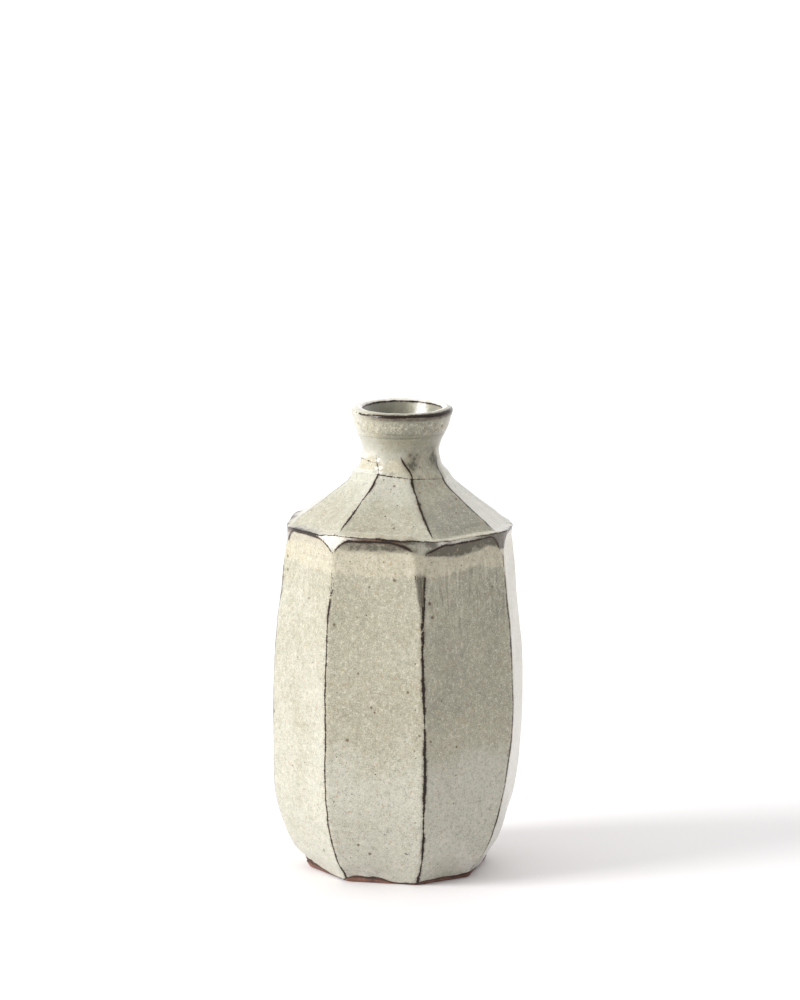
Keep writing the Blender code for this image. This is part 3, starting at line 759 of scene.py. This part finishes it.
mouth = {
    "profile": (  # radius against the mouth's widest, height below the top
        (0.853, 8.25), (0.875, 7.6), (0.908, 6.2), (0.94, 4.8), (0.968, 3.4), (0.99, 2.3),
        (1.0, 1.55), (0.998, 1.0), (0.975, 0.5), (0.935, 0.16), (0.885, 0.0), (0.835, 0.12),
        (0.795, 0.55), (0.765, 1.3), (0.725, 2.6), (0.675, 4.3), (0.62, 6.2), (0.578, 8.25),
    ),
    "raised": 0.65,  # the rim stands this far over the CAD's
    "tilt": 0.25,  # and this much more at the back
    "crest": 7.4,  # where along the profile the brown of the rim is strongest
    "innerEdge": 12.4,
    "step": 149.4,
    "stepSlant": 0.5,
    "coat": 0.4,
    "rings": 90,
    "reach": 16,
    "outsideTo": 10,  # along the profile
    "insideFrom": 12.5,
    "lipDrop": (2, 7),
    # the lump at the left of the rim: amount, azimuth, reach
    "lump": ((1.0, -92, 4.5), (0.6, -83, 3.5), (0.4, -101, 3)),
    "lumpDrop": (0.42, 2.7, 1.0),
    "meetsNeck": (6.6, 8.2),
    "stepRise": (0.26, -0.4, 0.15),
    "stepRuns": (4.5, 0.4),
    # unevenness: seed, size, amount
    "rimUneven": ((51, 30, 0.13), (52, 6, 0.05)),
    "roundUneven": ((53, 34, 0.15),),
    "faceUneven": ((54, 6, 0.04),),
    "crestUneven": ((55, 14, -0.2),),
    "crestIronUneven": ((56, 9, 0.14), (57, 3, 0.08)),
    "innerIronUneven": ((58, 7, 0.1),),
    "stepUneven": ((59, 8, 0.06),),
    # the front right of the rim is the darkest: its iron is heaviest there, and painted shade darkens that
    # side
    "darkFrom": (-75, -10),
    "darkTo": (150, 100),
    "crestIron": (0.22, 0.55),  # everywhere, and more at the dark side
    "crestClear": (-0.9, -86, 26),
    "thinnestCrest": 0.05,
    "innerIron": 0.3,
    # a painted highlight on the far inner wall of the throat
    "paintedHighlight": (1.0, 151, 15),
    "smokeUnderCrest": (0.6, 1.2, 0.8),
    # painted shade under the collar's soft step
    "paintedShadeUnderStep": (0.35, -1.3, 1.2),
    "cream": (0.35, 5, 2.5),
    # darker inside the throat: painted shade
    "thin": 0.35,
    "rust": (0.3, 0.5, 0.7),
    # the rim's top painted white as a reflection, the inside darker as painted shade, and the outside
    # darker at the front right as painted shade
    "tonesAndPaintedLight": {"top": 2.0, "inside": -1.0, "paintedHighlight": 3.1, "outside": -1.1, "dark": -1.5},
}


def neckSurface():
    base, high = neckLine, collarLine
    heights = steps(base, high, neck["spacing"])
    ridges = np.stack([along(points, heights - base) for points in neck["ridges"]], axis=1)
    k, share, azimuth, width = facetPlaces(columns, ridges)
    seamZ = neckSeam(azimuth)
    z = high - (high - heights)[:, None] * (high - seamZ) / (high - base)
    x, y = onCircle(neck["reach"], azimuth)
    up = z - base
    corner = along(neck["cut"], up)
    flat = corner * np.cos(np.minimum(width, neck["widestCut"]) / 2) / np.cos((share - 0.5) * width)
    thrown = along(neck["thrown"], up) + uneven(neck["thrownUneven"], x, y, z)
    surface = lesser(flat, thrown, neck["cutSoft"])
    cutAway = ease(*neck["cutShows"], flat - thrown)
    toRidge = np.minimum(share, 1 - share) * width * corner
    turn = np.degrees(azimuth)
    surface = surface + swell(toRidge, *neck["ridgeGroove"]) * (1 - cutAway)
    surface = surface + uneven(neck["faceUneven"], x, y, z)
    step = neck["step"]
    stepHere = (turn < step["right"]) * (turn > step["left"])
    overStep = z - step["height"]
    toStep = overStep + step["slant"] * x
    drop = step["drop"] * ease(*step["edge"], toStep) * ease(*step["run"], overStep)
    surface = surface - drop * stepHere

    near = (np.floor(share + 0.5).astype(int) + k) % 8
    wander = 1 + uneven(neck["ironUneven"], x, y, z)
    ridgeIron = np.array(neck["ridgeIron"])[near] * wander * (1 - ease(*neck["ridgeIronFades"], up))
    overSeam = z - seamZ
    seamIron = np.where(overSeam < neck["seamIronWithin"], around(neck["seamIron"], azimuth), noIron)
    line, iron = closest(
        (toRidge, ridgeIron),
        (overSeam, seamIron),
        (np.abs(toStep), step["iron"] * stepHere * wander),
    )
    haze = neck["haze"]
    smudge = haze["amount"] * ease(*haze["starts"], turn) * ease(*haze["ends"], turn)
    smudge = smudge * hump(up, *haze["height"])
    for amount, place, aside, height, tall in neck["smudges"]:
        smudge = smudge + amount * hump(turn, place, aside) * hump(up, height, tall)
    creamTop = 1 - ease(*neck["creamTo"], up + uneven(neck["creamUneven"], x, y, z))
    cream = ease(*neck["creamFrom"], overSeam) * creamTop * neck["cream"]
    left, *leftTurns = neck["paintedLightLeft"]
    right, *rightTurns = neck["paintedShadeRight"]
    upper, *upperHeights = neck["shiftTowardsTop"]
    # painted light at the left, painted shade at the front right
    toneAndPaintedLight = neck["toneAndPaintedLight"] + left * ease(*leftTurns, turn)
    toneAndPaintedLight = toneAndPaintedLight + right * ease(*rightTurns, turn) * ease(*neck["paintedShadeRightEnds"], turn)
    paintedGlint, place, aside, height, tall = neck["paintedGlint"]
    paintedGlint = paintedGlint * hump(turn, place, aside) * hump(up, height, tall)
    nothing = np.zeros(z.shape)
    marks = {
        "line": line,
        "iron": iron,
        "smokeAndShade": smudge * (neck["smokeAndShade"] + uneven(neck["smokeAndShadeUneven"], x, y, z)),
        "cream": cream * (1 - smudge) * ease(*neck["creamTurns"], turn),
        "thin": neck["thin"] * cutAway,
        "rust": nothing,
        "toneAndPaintedLight": toneAndPaintedLight + upper * ease(*upperHeights, up) + paintedGlint,
        "drag": nothing,
    }
    return spread(azimuth, surface, z), marks


def mouthSurface():
    places = np.array(mouth["profile"])
    order = np.arange(len(places))
    fine = np.linspace(0, len(places) - 1, mouth["rings"])
    reach = along(list(zip(order, places[:, 0])), fine) * (mouthHigh.x - mouthLow.x) / 2 / mm
    drops = along(list(zip(order, places[:, 1])), fine)
    azimuth = np.linspace(0, 2 * math.pi, len(columns), endpoint=False)[None, :]
    azimuth = np.repeat(azimuth, len(reach), axis=0)
    r = np.repeat(reach[:, None], len(columns), axis=1)
    z = np.repeat(mouthHigh.z / mm - drops[:, None], len(columns), axis=1)
    x, y = onCircle(mouth["reach"], azimuth)
    turn = (np.degrees(azimuth) + 180) % 360 - 180
    down = drops[:, None]
    high = 1 - ease(*mouth["lipDrop"], down)
    outside = (fine < mouth["outsideTo"])[:, None]
    inner = (fine > mouth["insideFrom"])[:, None]
    raised = mouth["raised"] - mouth["tilt"] * np.cos(azimuth)
    z = z + (raised + uneven(mouth["rimUneven"], x, y, 0)) * high
    r = r + uneven(mouth["roundUneven"], x, y, 0) * high + uneven(mouth["faceUneven"], x, y, z)
    lump = sum(swell(turn, *part) for part in mouth["lump"])
    r = r + lump * swell(down, *mouth["lumpDrop"]) * outside
    # its foot follows the top of the neck, and a soft step runs round above that
    neckTurn = np.degrees(np.arctan2(neckOuter[-1, :, 0] - lean(collarLine), -neckOuter[-1, :, 1]))
    neckTop = np.interp(turn[0], neckTurn, radii(neckOuter[-1]), period=360)
    r = r + (neckTop - r[0]) * ease(*mouth["meetsNeck"], down) * outside
    toStep = z - mouth["step"] + mouth["stepSlant"] * np.sin(azimuth) + uneven(mouth["stepUneven"], x, y, 0)
    stepRise, *stepHeights = mouth["stepRise"]
    r = r + stepRise * ease(*stepHeights, toStep) * ease(*mouth["stepRuns"], toStep) * outside

    length = np.concatenate([[0], np.cumsum(np.hypot(np.diff(reach), np.diff(drops)))])[:, None]
    crest = float(np.interp(mouth["crest"], fine, length[:, 0]))
    inside = float(np.interp(mouth["innerEdge"], fine, length[:, 0]))
    dark = ease(*mouth["darkFrom"], turn) * ease(*mouth["darkTo"], turn)
    always, atDark = mouth["crestIron"]
    crestIron = (always + atDark * dark) * (1 + swell(turn, *mouth["crestClear"]))
    crestIron = crestIron + uneven(mouth["crestIronUneven"], x, y, 0)
    toCrest = length - crest + uneven(mouth["crestUneven"], x, y, 0)
    line, iron = closest(
        (np.abs(toCrest), np.maximum(crestIron, mouth["thinnestCrest"])),
        (np.abs(length - inside), mouth["innerIron"] + uneven(mouth["innerIronUneven"], x, y, 0)),
    )
    # a painted highlight inside the throat, which is otherwise darkened as painted shade
    paintedHighlight = swell(turn, *mouth["paintedHighlight"])
    smokeShare, under, smokeReach = mouth["smokeUnderCrest"]
    smokeAndShade = smokeShare * hump(length, crest - under, smokeReach) + swell(toStep, *mouth["paintedShadeUnderStep"])
    rustShare, under, rustReach = mouth["rust"]
    tonesAndPaintedLight = mouth["tonesAndPaintedLight"]
    # a painted reflection on the rim's top, and painted shade inside with a painted highlight on the far
    # wall
    toneAndPaintedLight = np.where(inner, tonesAndPaintedLight["inside"] + tonesAndPaintedLight["paintedHighlight"] * paintedHighlight, tonesAndPaintedLight["top"])
    marks = {
        "line": line,
        "iron": iron,
        "smokeAndShade": smokeAndShade * dark * outside,
        "cream": swell(down, *mouth["cream"]),
        "thin": mouth["thin"] * inner * (1 - paintedHighlight),
        "rust": rustShare * dark * hump(length, crest - under, rustReach) * outside,
        "toneAndPaintedLight": toneAndPaintedLight + (tonesAndPaintedLight["outside"] + tonesAndPaintedLight["dark"] * dark) * outside,
        "drag": np.zeros(z.shape),
    }
    return spread(azimuth, r, z), marks


neckOuter, neckMarks = neckSurface()
shoulderOuter, marks = shoulderSurface()
last = len(shoulderOuter) - 1
rows = sorted({0, 3, 6, 10, 15, *range(18, last, 4), last})
shoulderGlaze = skinned("shoulder_glaze_coat", shoulderOuter, marks, shoulder["coat"], rows)

print("shaping the neck and the mouth")
last = len(neckOuter) - 1
neckGlaze = skinned("neck_glaze_coat", neckOuter, neckMarks, neck["coat"], [*range(0, last, 5), last])
mouthOuter, marks = mouthSurface()
last = len(mouthOuter) - 1
mouthGlaze = skinned("mouth_glaze_coat", mouthOuter, marks, mouth["coat"], [*range(0, last, 5), last])


print("shaping the inside and the foot")
liner = {
    "outline": (  # height, radius of the glazed inside
        (8.3, 24.0), (9.2, 25.9), (12.0, 28.2), (25.0, 31.6), (56.0, 33.2), (84.0, 31.8),
        (105.0, 29.6), (113.3, 28.9), (116.0, 26.9), (119.5, 22.8), (124.6, 16.8), (128.9, 11.9),
        (132.5, 9.6), (136.0, 8.6), (142.0, 8.4), (147.7, 9.6),
    ),
    "coat": (  # height, thickness
        (11, 0.55), (113, 0.55), (119.5, 0.8), (126, 0.75), (132.5, 0.55), (148, 0.5),
    ),
    "floor": 0.75,
    "floorRadii": (3, 6, 9, 12, 15, 18, 21),
    "floorRises": (0.02, 0.12, 1.4),  # outwards, and in waves
    "rows": ((8.3, 12, 0.7), (12, 112, 1.6)),
    "rowsAtNeck": (112, 0.7),
    "throwingRings": (0.16, 1.15, 118),  # depth, turn for each millimetre, none over this height
    "outerRows": (140, 132.5, 126, 119.5, 113, 84, 56, 25, 11),
    "underneath": (24.6, 3),
    "clearance": 0.1,
    "columns": 96,
    "marks": {"line": 3, "iron": 0.1, "toneAndPaintedLight": -0.8},
}
foot = {
    "inside": (  # radius, height of the recess underneath
        (4, 1.5), (8, 1.5), (12, 1.5), (16, 1.5), (20, 1.5), (21, 1.0), (22, 0.5), (23, 0.06),
        (23.5, 0),
    ),
    "outside": (  # height, how far inside the body's outline
        (0.0, 1.6), (0.0, 0.95), (0.05, 0.68), (0.2, 0.54), (0.5, 0.5), (0.9, 0.5), (1.3, 0.5),
        (1.7, 0.5), (2.1, 0.5), (2.6, 0.5), (3.2, 0.52), (4.2, 0.75), (4.2, 3.0),
    ),
    "tuck": (0.5, 0.7),  # further in where the glaze covers it, and over how much height
    "reach": 30,
    "turning": (0.05, 3.0),  # grooves under the foot
    "ridgeGroove": (-0.2, 0, 0.7),
    "uneven": ((71, 7, 0.07), (72, 2.4, 0.04)),
    "middle": 4,
    "hidden": 9,
}


def linerPiece():
    azimuth = np.linspace(0, 2 * math.pi, liner["columns"], endpoint=False)
    low, high = linerLow.z / mm, linerHigh.z / mm
    outwards, wave, often = liner["floorRises"]
    depth, turn, until = liner["throwingRings"]
    lastRun, lastSpacing = liner["rowsAtNeck"]
    rings = []
    for radius in liner["floorRadii"]:
        z = low + liner["floor"] + outwards * radius + wave * math.sin(radius * often)
        rings.append(spread(azimuth, radius, z))
    for z in stretches(*liner["rows"], (lastRun, high, lastSpacing)):
        turning = depth * np.sin(azimuth + z * turn) * (z < until)
        rings.append(spread(azimuth, along(liner["outline"], z) + turning, z))
    for z in (high, *liner["outerRows"]):
        rings.append(spread(azimuth, along(liner["outline"], z) + along(liner["coat"], z), z))
    for radius in liner["underneath"]:
        rings.append(spread(azimuth, radius, low + liner["clearance"]))
    marks = {mark: [value] * len(rings) for mark, value in liner["marks"].items()}
    return shell("liner_glaze_coat", rings, marks, closed=False)


def footPiece():
    tops = np.array([0.0, foot["outside"][-1][0]])
    k, share, azimuths, width = facetPlaces(columns, bodyRidges(tops))
    fromEdge = footLine(azimuths[0])
    depth, often = foot["turning"]
    tuck, tucked = foot["tuck"]
    rings, below = [], []
    for radius, z in foot["inside"]:
        rings.append(spread(azimuths[0], radius, z + depth * np.cos(radius * often) * (z > 0.2)))
        below.append(foot["hidden"])
    for z, inset in foot["outside"]:
        place = z / tops[1]
        azimuth = azimuths[0] + place * (azimuths[1] - azimuths[0])
        spanned = width[0] + place * (width[1] - width[0])
        corner, straight = flatCut(np.array([z]), k, share, spanned)
        toRidge = np.minimum(share, 1 - share) * spanned * corner[0]
        radius = straight[0] - inset + swell(toRidge, *foot["ridgeGroove"])
        radius = radius - tuck * ease(0.0, tucked, z - fromEdge)
        radius = radius + uneven(foot["uneven"], *onCircle(foot["reach"], azimuth), z)
        rings.append(spread(azimuth, radius, z))
        below.append(fromEdge - z if inset < 2 else foot["hidden"])
    rings.append(spread(azimuths[0], foot["middle"], tops[1]))
    below.append(foot["hidden"])
    return shell("bare_foot", rings, {"below": below}, closed=False)


linerGlaze = linerPiece()
bareFoot = footPiece()


print("mixing the finishes")


class Wire:
    # a socket that takes part in sums
    def __init__(self, mix, socket):
        self.mix, self.socket = mix, socket

    def other(self, name):
        return Wire(self.mix, self.socket.node.outputs[name])

    def sum(self, operation, *others):
        return self.mix.node("ShaderNodeMath", {"operation": operation}, dict(enumerate(others)))

    def __add__(self, other):
        return self.sum("ADD", self, other)

    def __radd__(self, other):
        return self.sum("ADD", other, self)

    def __sub__(self, other):
        return self.sum("SUBTRACT", self, other)

    def __rsub__(self, other):
        return self.sum("SUBTRACT", other, self)

    def __mul__(self, other):
        return self.sum("MULTIPLY", self, other)

    def __rmul__(self, other):
        return self.sum("MULTIPLY", other, self)

    def __truediv__(self, other):
        return self.sum("DIVIDE", self, other)


class Finish:
    # one material, its shader and the nodes that feed it
    def __init__(self, name, **constants):
        self.material = bpy.data.materials.new(name)
        self.material.use_nodes = True
        self.tree = self.material.node_tree
        self.shader = self.tree.nodes["Principled BSDF"]
        for socket, value in constants.items():
            self.shader.inputs[socket.replace("_", " ")].default_value = value

    def node(self, kind, settings, sockets, out=0):
        made = self.tree.nodes.new(kind)
        for setting, value in settings.items():
            setattr(made, setting, value)
        for name, value in sockets.items():
            if isinstance(value, Wire):
                self.tree.links.new(value.socket, made.inputs[name])
            else:
                made.inputs[name].default_value = value
        return Wire(self, made.outputs[out])

    def mark(self, name):
        return self.node("ShaderNodeAttribute", {"attribute_name": name}, {}, "Fac")

    def place(self, stretch=(1, 1, 1), moved=0.0):
        # the point being shaded, in millimetres
        whole = self.node("ShaderNodeTexCoord", {}, {}, "Object")
        sockets = {0: whole, 1: tuple(s / mm for s in stretch), 2: (moved, moved * 0.7, moved * 1.3)}
        return self.node("ShaderNodeVectorMath", {"operation": "MULTIPLY_ADD"}, sockets)

    def noise(self, where, size, detail=2.0, rough=0.5):
        # about -0.5 to 0.5, size millimetres across
        sockets = {"Vector": where, "Scale": 1 / size, "Detail": detail, "Roughness": rough}
        return self.node("ShaderNodeTexNoise", {}, sockets, "Fac") - 0.5

    def step(self, low, high, value):
        settings = {"interpolation_type": "SMOOTHSTEP"}
        sockets = {"Value": value, "From Min": low, "From Max": high}
        return self.node("ShaderNodeMapRange", settings, sockets)

    def mixed(self, share, one, two):
        one = one if isinstance(one, Wire) else (*one, 1)
        two = two if isinstance(two, Wire) else (*two, 1)
        return self.node("ShaderNodeMix", {"data_type": "RGBA"}, {"Factor": share, 6: one, 7: two}, 2)

    def dots(self, spacing, radius, share, moved):
        # round specks in a few of the cells of a loose grid
        sockets = {"Vector": self.place(moved=moved), "Scale": 1 / spacing}
        cells = self.node("ShaderNodeTexVoronoi", {}, sockets, "Distance")
        pick = self.node("ShaderNodeSeparateColor", {}, {"Color": cells.other("Color")}, "Red")
        size = radius / spacing * (0.5 + 0.9 * pick.other("Green"))
        return (1 - self.step(0.55, 1.1, cells / size)) * self.step(share + 0.01, share - 0.01, pick)

    def spot(self, where, centre, radius):
        sockets = {0: where, 1: centre}
        away = self.node("ShaderNodeVectorMath", {"operation": "DISTANCE"}, sockets, "Value")
        return 1 - self.step(0.6, 1.05, away / radius)

    def finish(self, colour, roughness, height, depth):
        sockets = {"Height": height, "Distance": depth * mm, "Strength": 1.0}
        bump = self.node("ShaderNodeBump", {}, sockets)
        for socket, wire in (("Base Color", colour), ("Roughness", roughness), ("Normal", bump)):
            self.tree.links.new(wire.socket, self.shader.inputs[socket])
        return self.material


glazeLook = {
    "green": (0.335, 0.318, 0.235),
    "deep": (0.23, 0.225, 0.17),
    "pale": (0.43, 0.42, 0.35),
    "cream": (0.425, 0.39, 0.29),
    "white": (0.68, 0.655, 0.60),
    "light": (0.60, 0.57, 0.46),
    "dusk": (0.13, 0.125, 0.09),
    "tan": (0.35, 0.23, 0.11),
    "smokeAndShade": (0.062, 0.055, 0.038),
    "iron": (0.016, 0.009, 0.005),
    "rust": (0.085, 0.036, 0.017),
    "speck": (0.085, 0.042, 0.012),
}
# kiln specks worth placing one by one: the surface, azimuth, height, radius and colour
spots = (
    (bodyOuter, 15.5, 97.0, 0.75, "speck"),
    (bodyOuter, 16.5, 92.6, 0.65, "speck"),
    (bodyOuter, -12.0, 61.0, 0.4, "speck"),
    (bodyOuter, 30.0, 48.0, 0.45, "speck"),
    (bodyOuter, -62.0, 38.0, 0.35, "speck"),
    (shoulderOuter, 17.0, 127.4, 0.9, "iron"),
    (shoulderOuter, -9.0, 124.0, 0.35, "iron"),
    (mouthOuter, 28.0, 152.6, 0.5, "iron"),
    (mouthOuter, 35.0, 152.3, 0.24, "iron"),
    (mouthOuter, 31.5, 151.6, 0.22, "speck"),
    (mouthOuter, -3.0, 151.2, 0.25, "speck"),
)


def glazeFinish(name, look, gloss):
    g = Finish(name, IOR=1.33, Coat_Roughness=0.12, Coat_IOR=1.5)
    where = g.place()
    grain = g.noise(where, 0.45, 2, 0.6)
    fleck = g.noise(where, 1.5, 2, 0.5)
    mottle = g.noise(where, 5, 3, 0.5)
    cloud = g.noise(where, 18, 2, 0.5)
    streak = g.noise(g.place((1, 1, 0.08)), 0.9, 2, 0.5)
    line, iron = g.mark("line"), g.mark("iron")
    smokeAndShade, cream, thin, rust = (g.mark(m) for m in ("smokeAndShade", "cream", "thin", "rust"))
    # the glaze pools green, goes milky where it is thick, and cream where it lies twice; its tone also
    # carries painted light and shade, paler on lit sides and darker on shaded ones, with painted highlights
    # and reflections in white
    toneAndPaintedLight = g.mark("toneAndPaintedLight") + mottle * 1.1 + cloud * 0.9
    colour = g.mixed(g.step(0.0, 1.0, toneAndPaintedLight), look["green"], look["pale"])
    colour = g.mixed(g.step(0.0, 1.0, toneAndPaintedLight * -1), colour, look["deep"])
    colour = g.mixed(g.step(1.0, 2.0, toneAndPaintedLight), colour, look["white"])
    colour = g.mixed(g.step(0.25, 0.85, cream + mottle * 1.2 + fleck * 0.8), colour, look["cream"])
    blush = g.step(0.08, 0.3, g.noise(g.place(moved=9.0), 2.6, 3, 0.6) + mottle * 0.4)
    colour = g.mixed(blush * 0.35, colour, look["tan"])
    speckle = grain + fleck * 0.45
    colour = g.mixed(g.step(0.0, 0.24, speckle) * 0.62, colour, look["light"])
    colour = g.mixed(g.step(0.0, 0.24, speckle * -1) * 0.52, colour, look["dusk"])
    drag = g.mark("drag")
    colour = g.mixed(g.step(0.05, 0.25, streak) * drag * 0.45, colour, look["smokeAndShade"])
    colour = g.mixed(g.step(0.05, 0.25, streak * -1) * drag * 0.4, colour, look["light"])
    # thin and dark over the thrown form, and smoky under the lip, partly painted shade; the same dark also
    # paints shade inside the throat and under the collar's step
    ragged = 1 + speckle * 3.0
    colour = g.mixed(g.step(0.1, 0.85, thin * ragged) * 0.85, colour, look["smokeAndShade"])
    colour = g.mixed(g.step(0.1, 0.8, rust * ragged) * 0.85, colour, look["rust"])
    colour = g.mixed(g.step(0.05, 0.9, smokeAndShade * (ragged + fleck * 1.6)) * 0.88, colour, look["smokeAndShade"])
    tanSpots = g.dots(2.2, 0.42, 0.5, 3.1)
    brownSpots = g.dots(4.0, 0.5, 0.25, 17.7)
    pinholes = g.dots(2.6, 0.2, 0.35, 31.4)
    colour = g.mixed(tanSpots * 0.45, colour, look["tan"])
    colour = g.mixed(brownSpots * 0.75, colour, look["speck"])
    for surface, azimuth, height, radius, kind in spots:
        spot = g.spot(where, pointOn(surface, azimuth, height), radius)
        colour = g.mixed(spot * 0.9, colour, look[kind])
    # iron breaks through on every ridge and edge
    ragged = line + grain * 0.55 + fleck * 0.45
    halo = 1 - g.step(0.5, 2.6, ragged / iron)
    core = 1 - g.step(0.55, 1.2, ragged / iron)
    colour = g.mixed(halo * 0.42, colour, look["rust"])
    colour = g.mixed(core, colour, look["iron"])
    colour = g.mixed(pinholes, colour, look["iron"])
    rough = gloss + 0.14 * g.step(-0.3, 0.3, mottle + grain * 0.5) - 0.1 * core - 0.08 * thin
    height = grain * 0.25 + mottle * 0.5 - pinholes * 1.2 - core * 0.35 + tanSpots * 0.15
    bare = g.step(0.1, 0.85, thin + smokeAndShade + rust)
    g.tree.links.new((0.55 * (1 - core) * (1 - bare * 0.85)).socket, g.shader.inputs["Coat Weight"])
    return g.finish(colour, rough, height, 0.12)


def clayFinish(name, look, burnt):
    g = Finish(name, IOR=1.45)
    where = g.place()
    grit = g.noise(where, 0.5, 4, 0.65)
    patch = g.noise(where, 5, 3, 0.55)
    drag = g.noise(g.place((0.25, 0.25, 2.5)), 0.8, 2, 0.5)
    colour = g.mixed(g.step(-0.25, 0.3, patch + grit * 0.5), look["dark"], look["red"])
    colour = g.mixed(g.step(0.1, 0.32, grit + drag * 0.6) * 0.5, colour, look["light"])
    colour = g.mixed(g.dots(2.4, 0.28, 0.4, 5.0), colour, look["dark"])
    if burnt:
        # scorched under the glaze's edge
        colour = g.mixed(g.step(0.45, 0.0, g.mark("below") + grit * 0.6) * 0.8, colour, look["burnt"])
    return g.finish(colour, 0.78 + grit * 0.2, grit * 0.6 + drag * 0.3 + patch * 0.3, 0.16)


clayLook = {
    "dark": (0.11, 0.052, 0.036),
    "red": (0.28, 0.14, 0.10),
    "light": (0.36, 0.21, 0.15),
    "burnt": (0.03, 0.018, 0.013),
}
outerFinish = glazeFinish("celadon_over_iron", glazeLook, 0.3)
# the inside glaze darker: pooled, and painted shade deep in the bottle
innerFinish = glazeFinish("celadon_pooled_and_painted_shade_inside", {**glazeLook, "deep": (0.12, 0.13, 0.095)}, 0.2)
bareFinish = clayFinish("bare_stoneware", clayLook, burnt=True)
hiddenFinish = clayFinish("stoneware_under_the_glaze", clayLook, burnt=False)

print("placing the pieces")
places = (
    (bodyGlaze, outerFinish, "outer_glaze", "body_glaze"),
    (shoulderGlaze, outerFinish, "outer_glaze", "shoulder_glaze"),
    (neckGlaze, outerFinish, "outer_glaze", "neck_glaze"),
    (mouthGlaze, outerFinish, "outer_glaze", "mouth_glaze"),
    (linerGlaze, innerFinish, "liner_glaze", "liner_glaze"),
    (bareFoot, bareFinish, "bare_clay", "foot_slab"),
)
for piece, material, slotName, node in places:
    piece.data.materials.append(material)
    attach(piece, "root")
    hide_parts(node)
for node in ("body_wall", "shoulder", "neck", "mouth_ring"):
    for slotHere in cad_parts[node].material_slots:
        slotHere.material = hiddenFinish


print("setting the floor, the light and the camera")
light = {"azimuth": -72.0, "height": 23.0, "spread": 27.0, "power": 3.8, "sky": 1.0, "skyBehind": 0.45}
camera = {
    "distance": 1.7144,
    "height": 0.4419,
    "aside": 0.0006,
    "tilt": 10.48,
    "lens": 188.0,
    "sensor": 36.0,
}


def layFloor():
    bpy.ops.mesh.primitive_circle_add(vertices=64, radius=6, fill_type="NGON", location=(0, 0, -0.00005))
    floor = bpy.context.object
    floor.name = "floor"
    paper = Finish("white_paper", Base_Color=(0.825, 0.80, 0.806, 1), Roughness=0.7)
    floor.data.materials.append(paper.material)


def setLight():
    world = bpy.data.worlds.new("white_room")
    bpy.context.scene.world = world
    world.use_nodes = True
    tree = world.node_tree
    way = tree.nodes.new("ShaderNodeTexCoord")
    split = tree.nodes.new("ShaderNodeSeparateXYZ")
    strength = tree.nodes.new("ShaderNodeMath")
    strength.operation = "MULTIPLY_ADD"
    strength.inputs[1].default_value = light["skyBehind"]
    strength.inputs[2].default_value = light["sky"]
    tree.links.new(way.outputs["Generated"], split.inputs[0])
    tree.links.new(split.outputs["Y"], strength.inputs[0])
    tree.links.new(strength.outputs[0], tree.nodes["Background"].inputs["Strength"])
    tree.nodes["Background"].inputs["Color"].default_value = (1, 1, 1, 1)
    sun = bpy.data.lights.new("window", "SUN")
    sun.energy = light["power"]
    sun.angle = math.radians(light["spread"])
    lamp = bpy.data.objects.new("window", sun)
    lamp.rotation_euler = (math.radians(90 - light["height"]), 0, math.radians(light["azimuth"]))
    bpy.context.scene.collection.objects.link(lamp)


def setCamera():
    eye = bpy.data.cameras.new("eye")
    eye.lens = camera["lens"]
    eye.sensor_width = camera["sensor"]
    eye.sensor_fit = "AUTO"
    eye.clip_end = 50
    holder = bpy.data.objects.new("eye", eye)
    holder.location = (camera["aside"], -camera["distance"], camera["height"])
    holder.rotation_euler = (math.radians(90 - camera["tilt"]), 0, 0)
    bpy.context.scene.collection.objects.link(holder)
    bpy.context.scene.camera = holder
    bpy.context.scene.view_settings.view_transform = "Standard"


layFloor()
setLight()
setCamera()
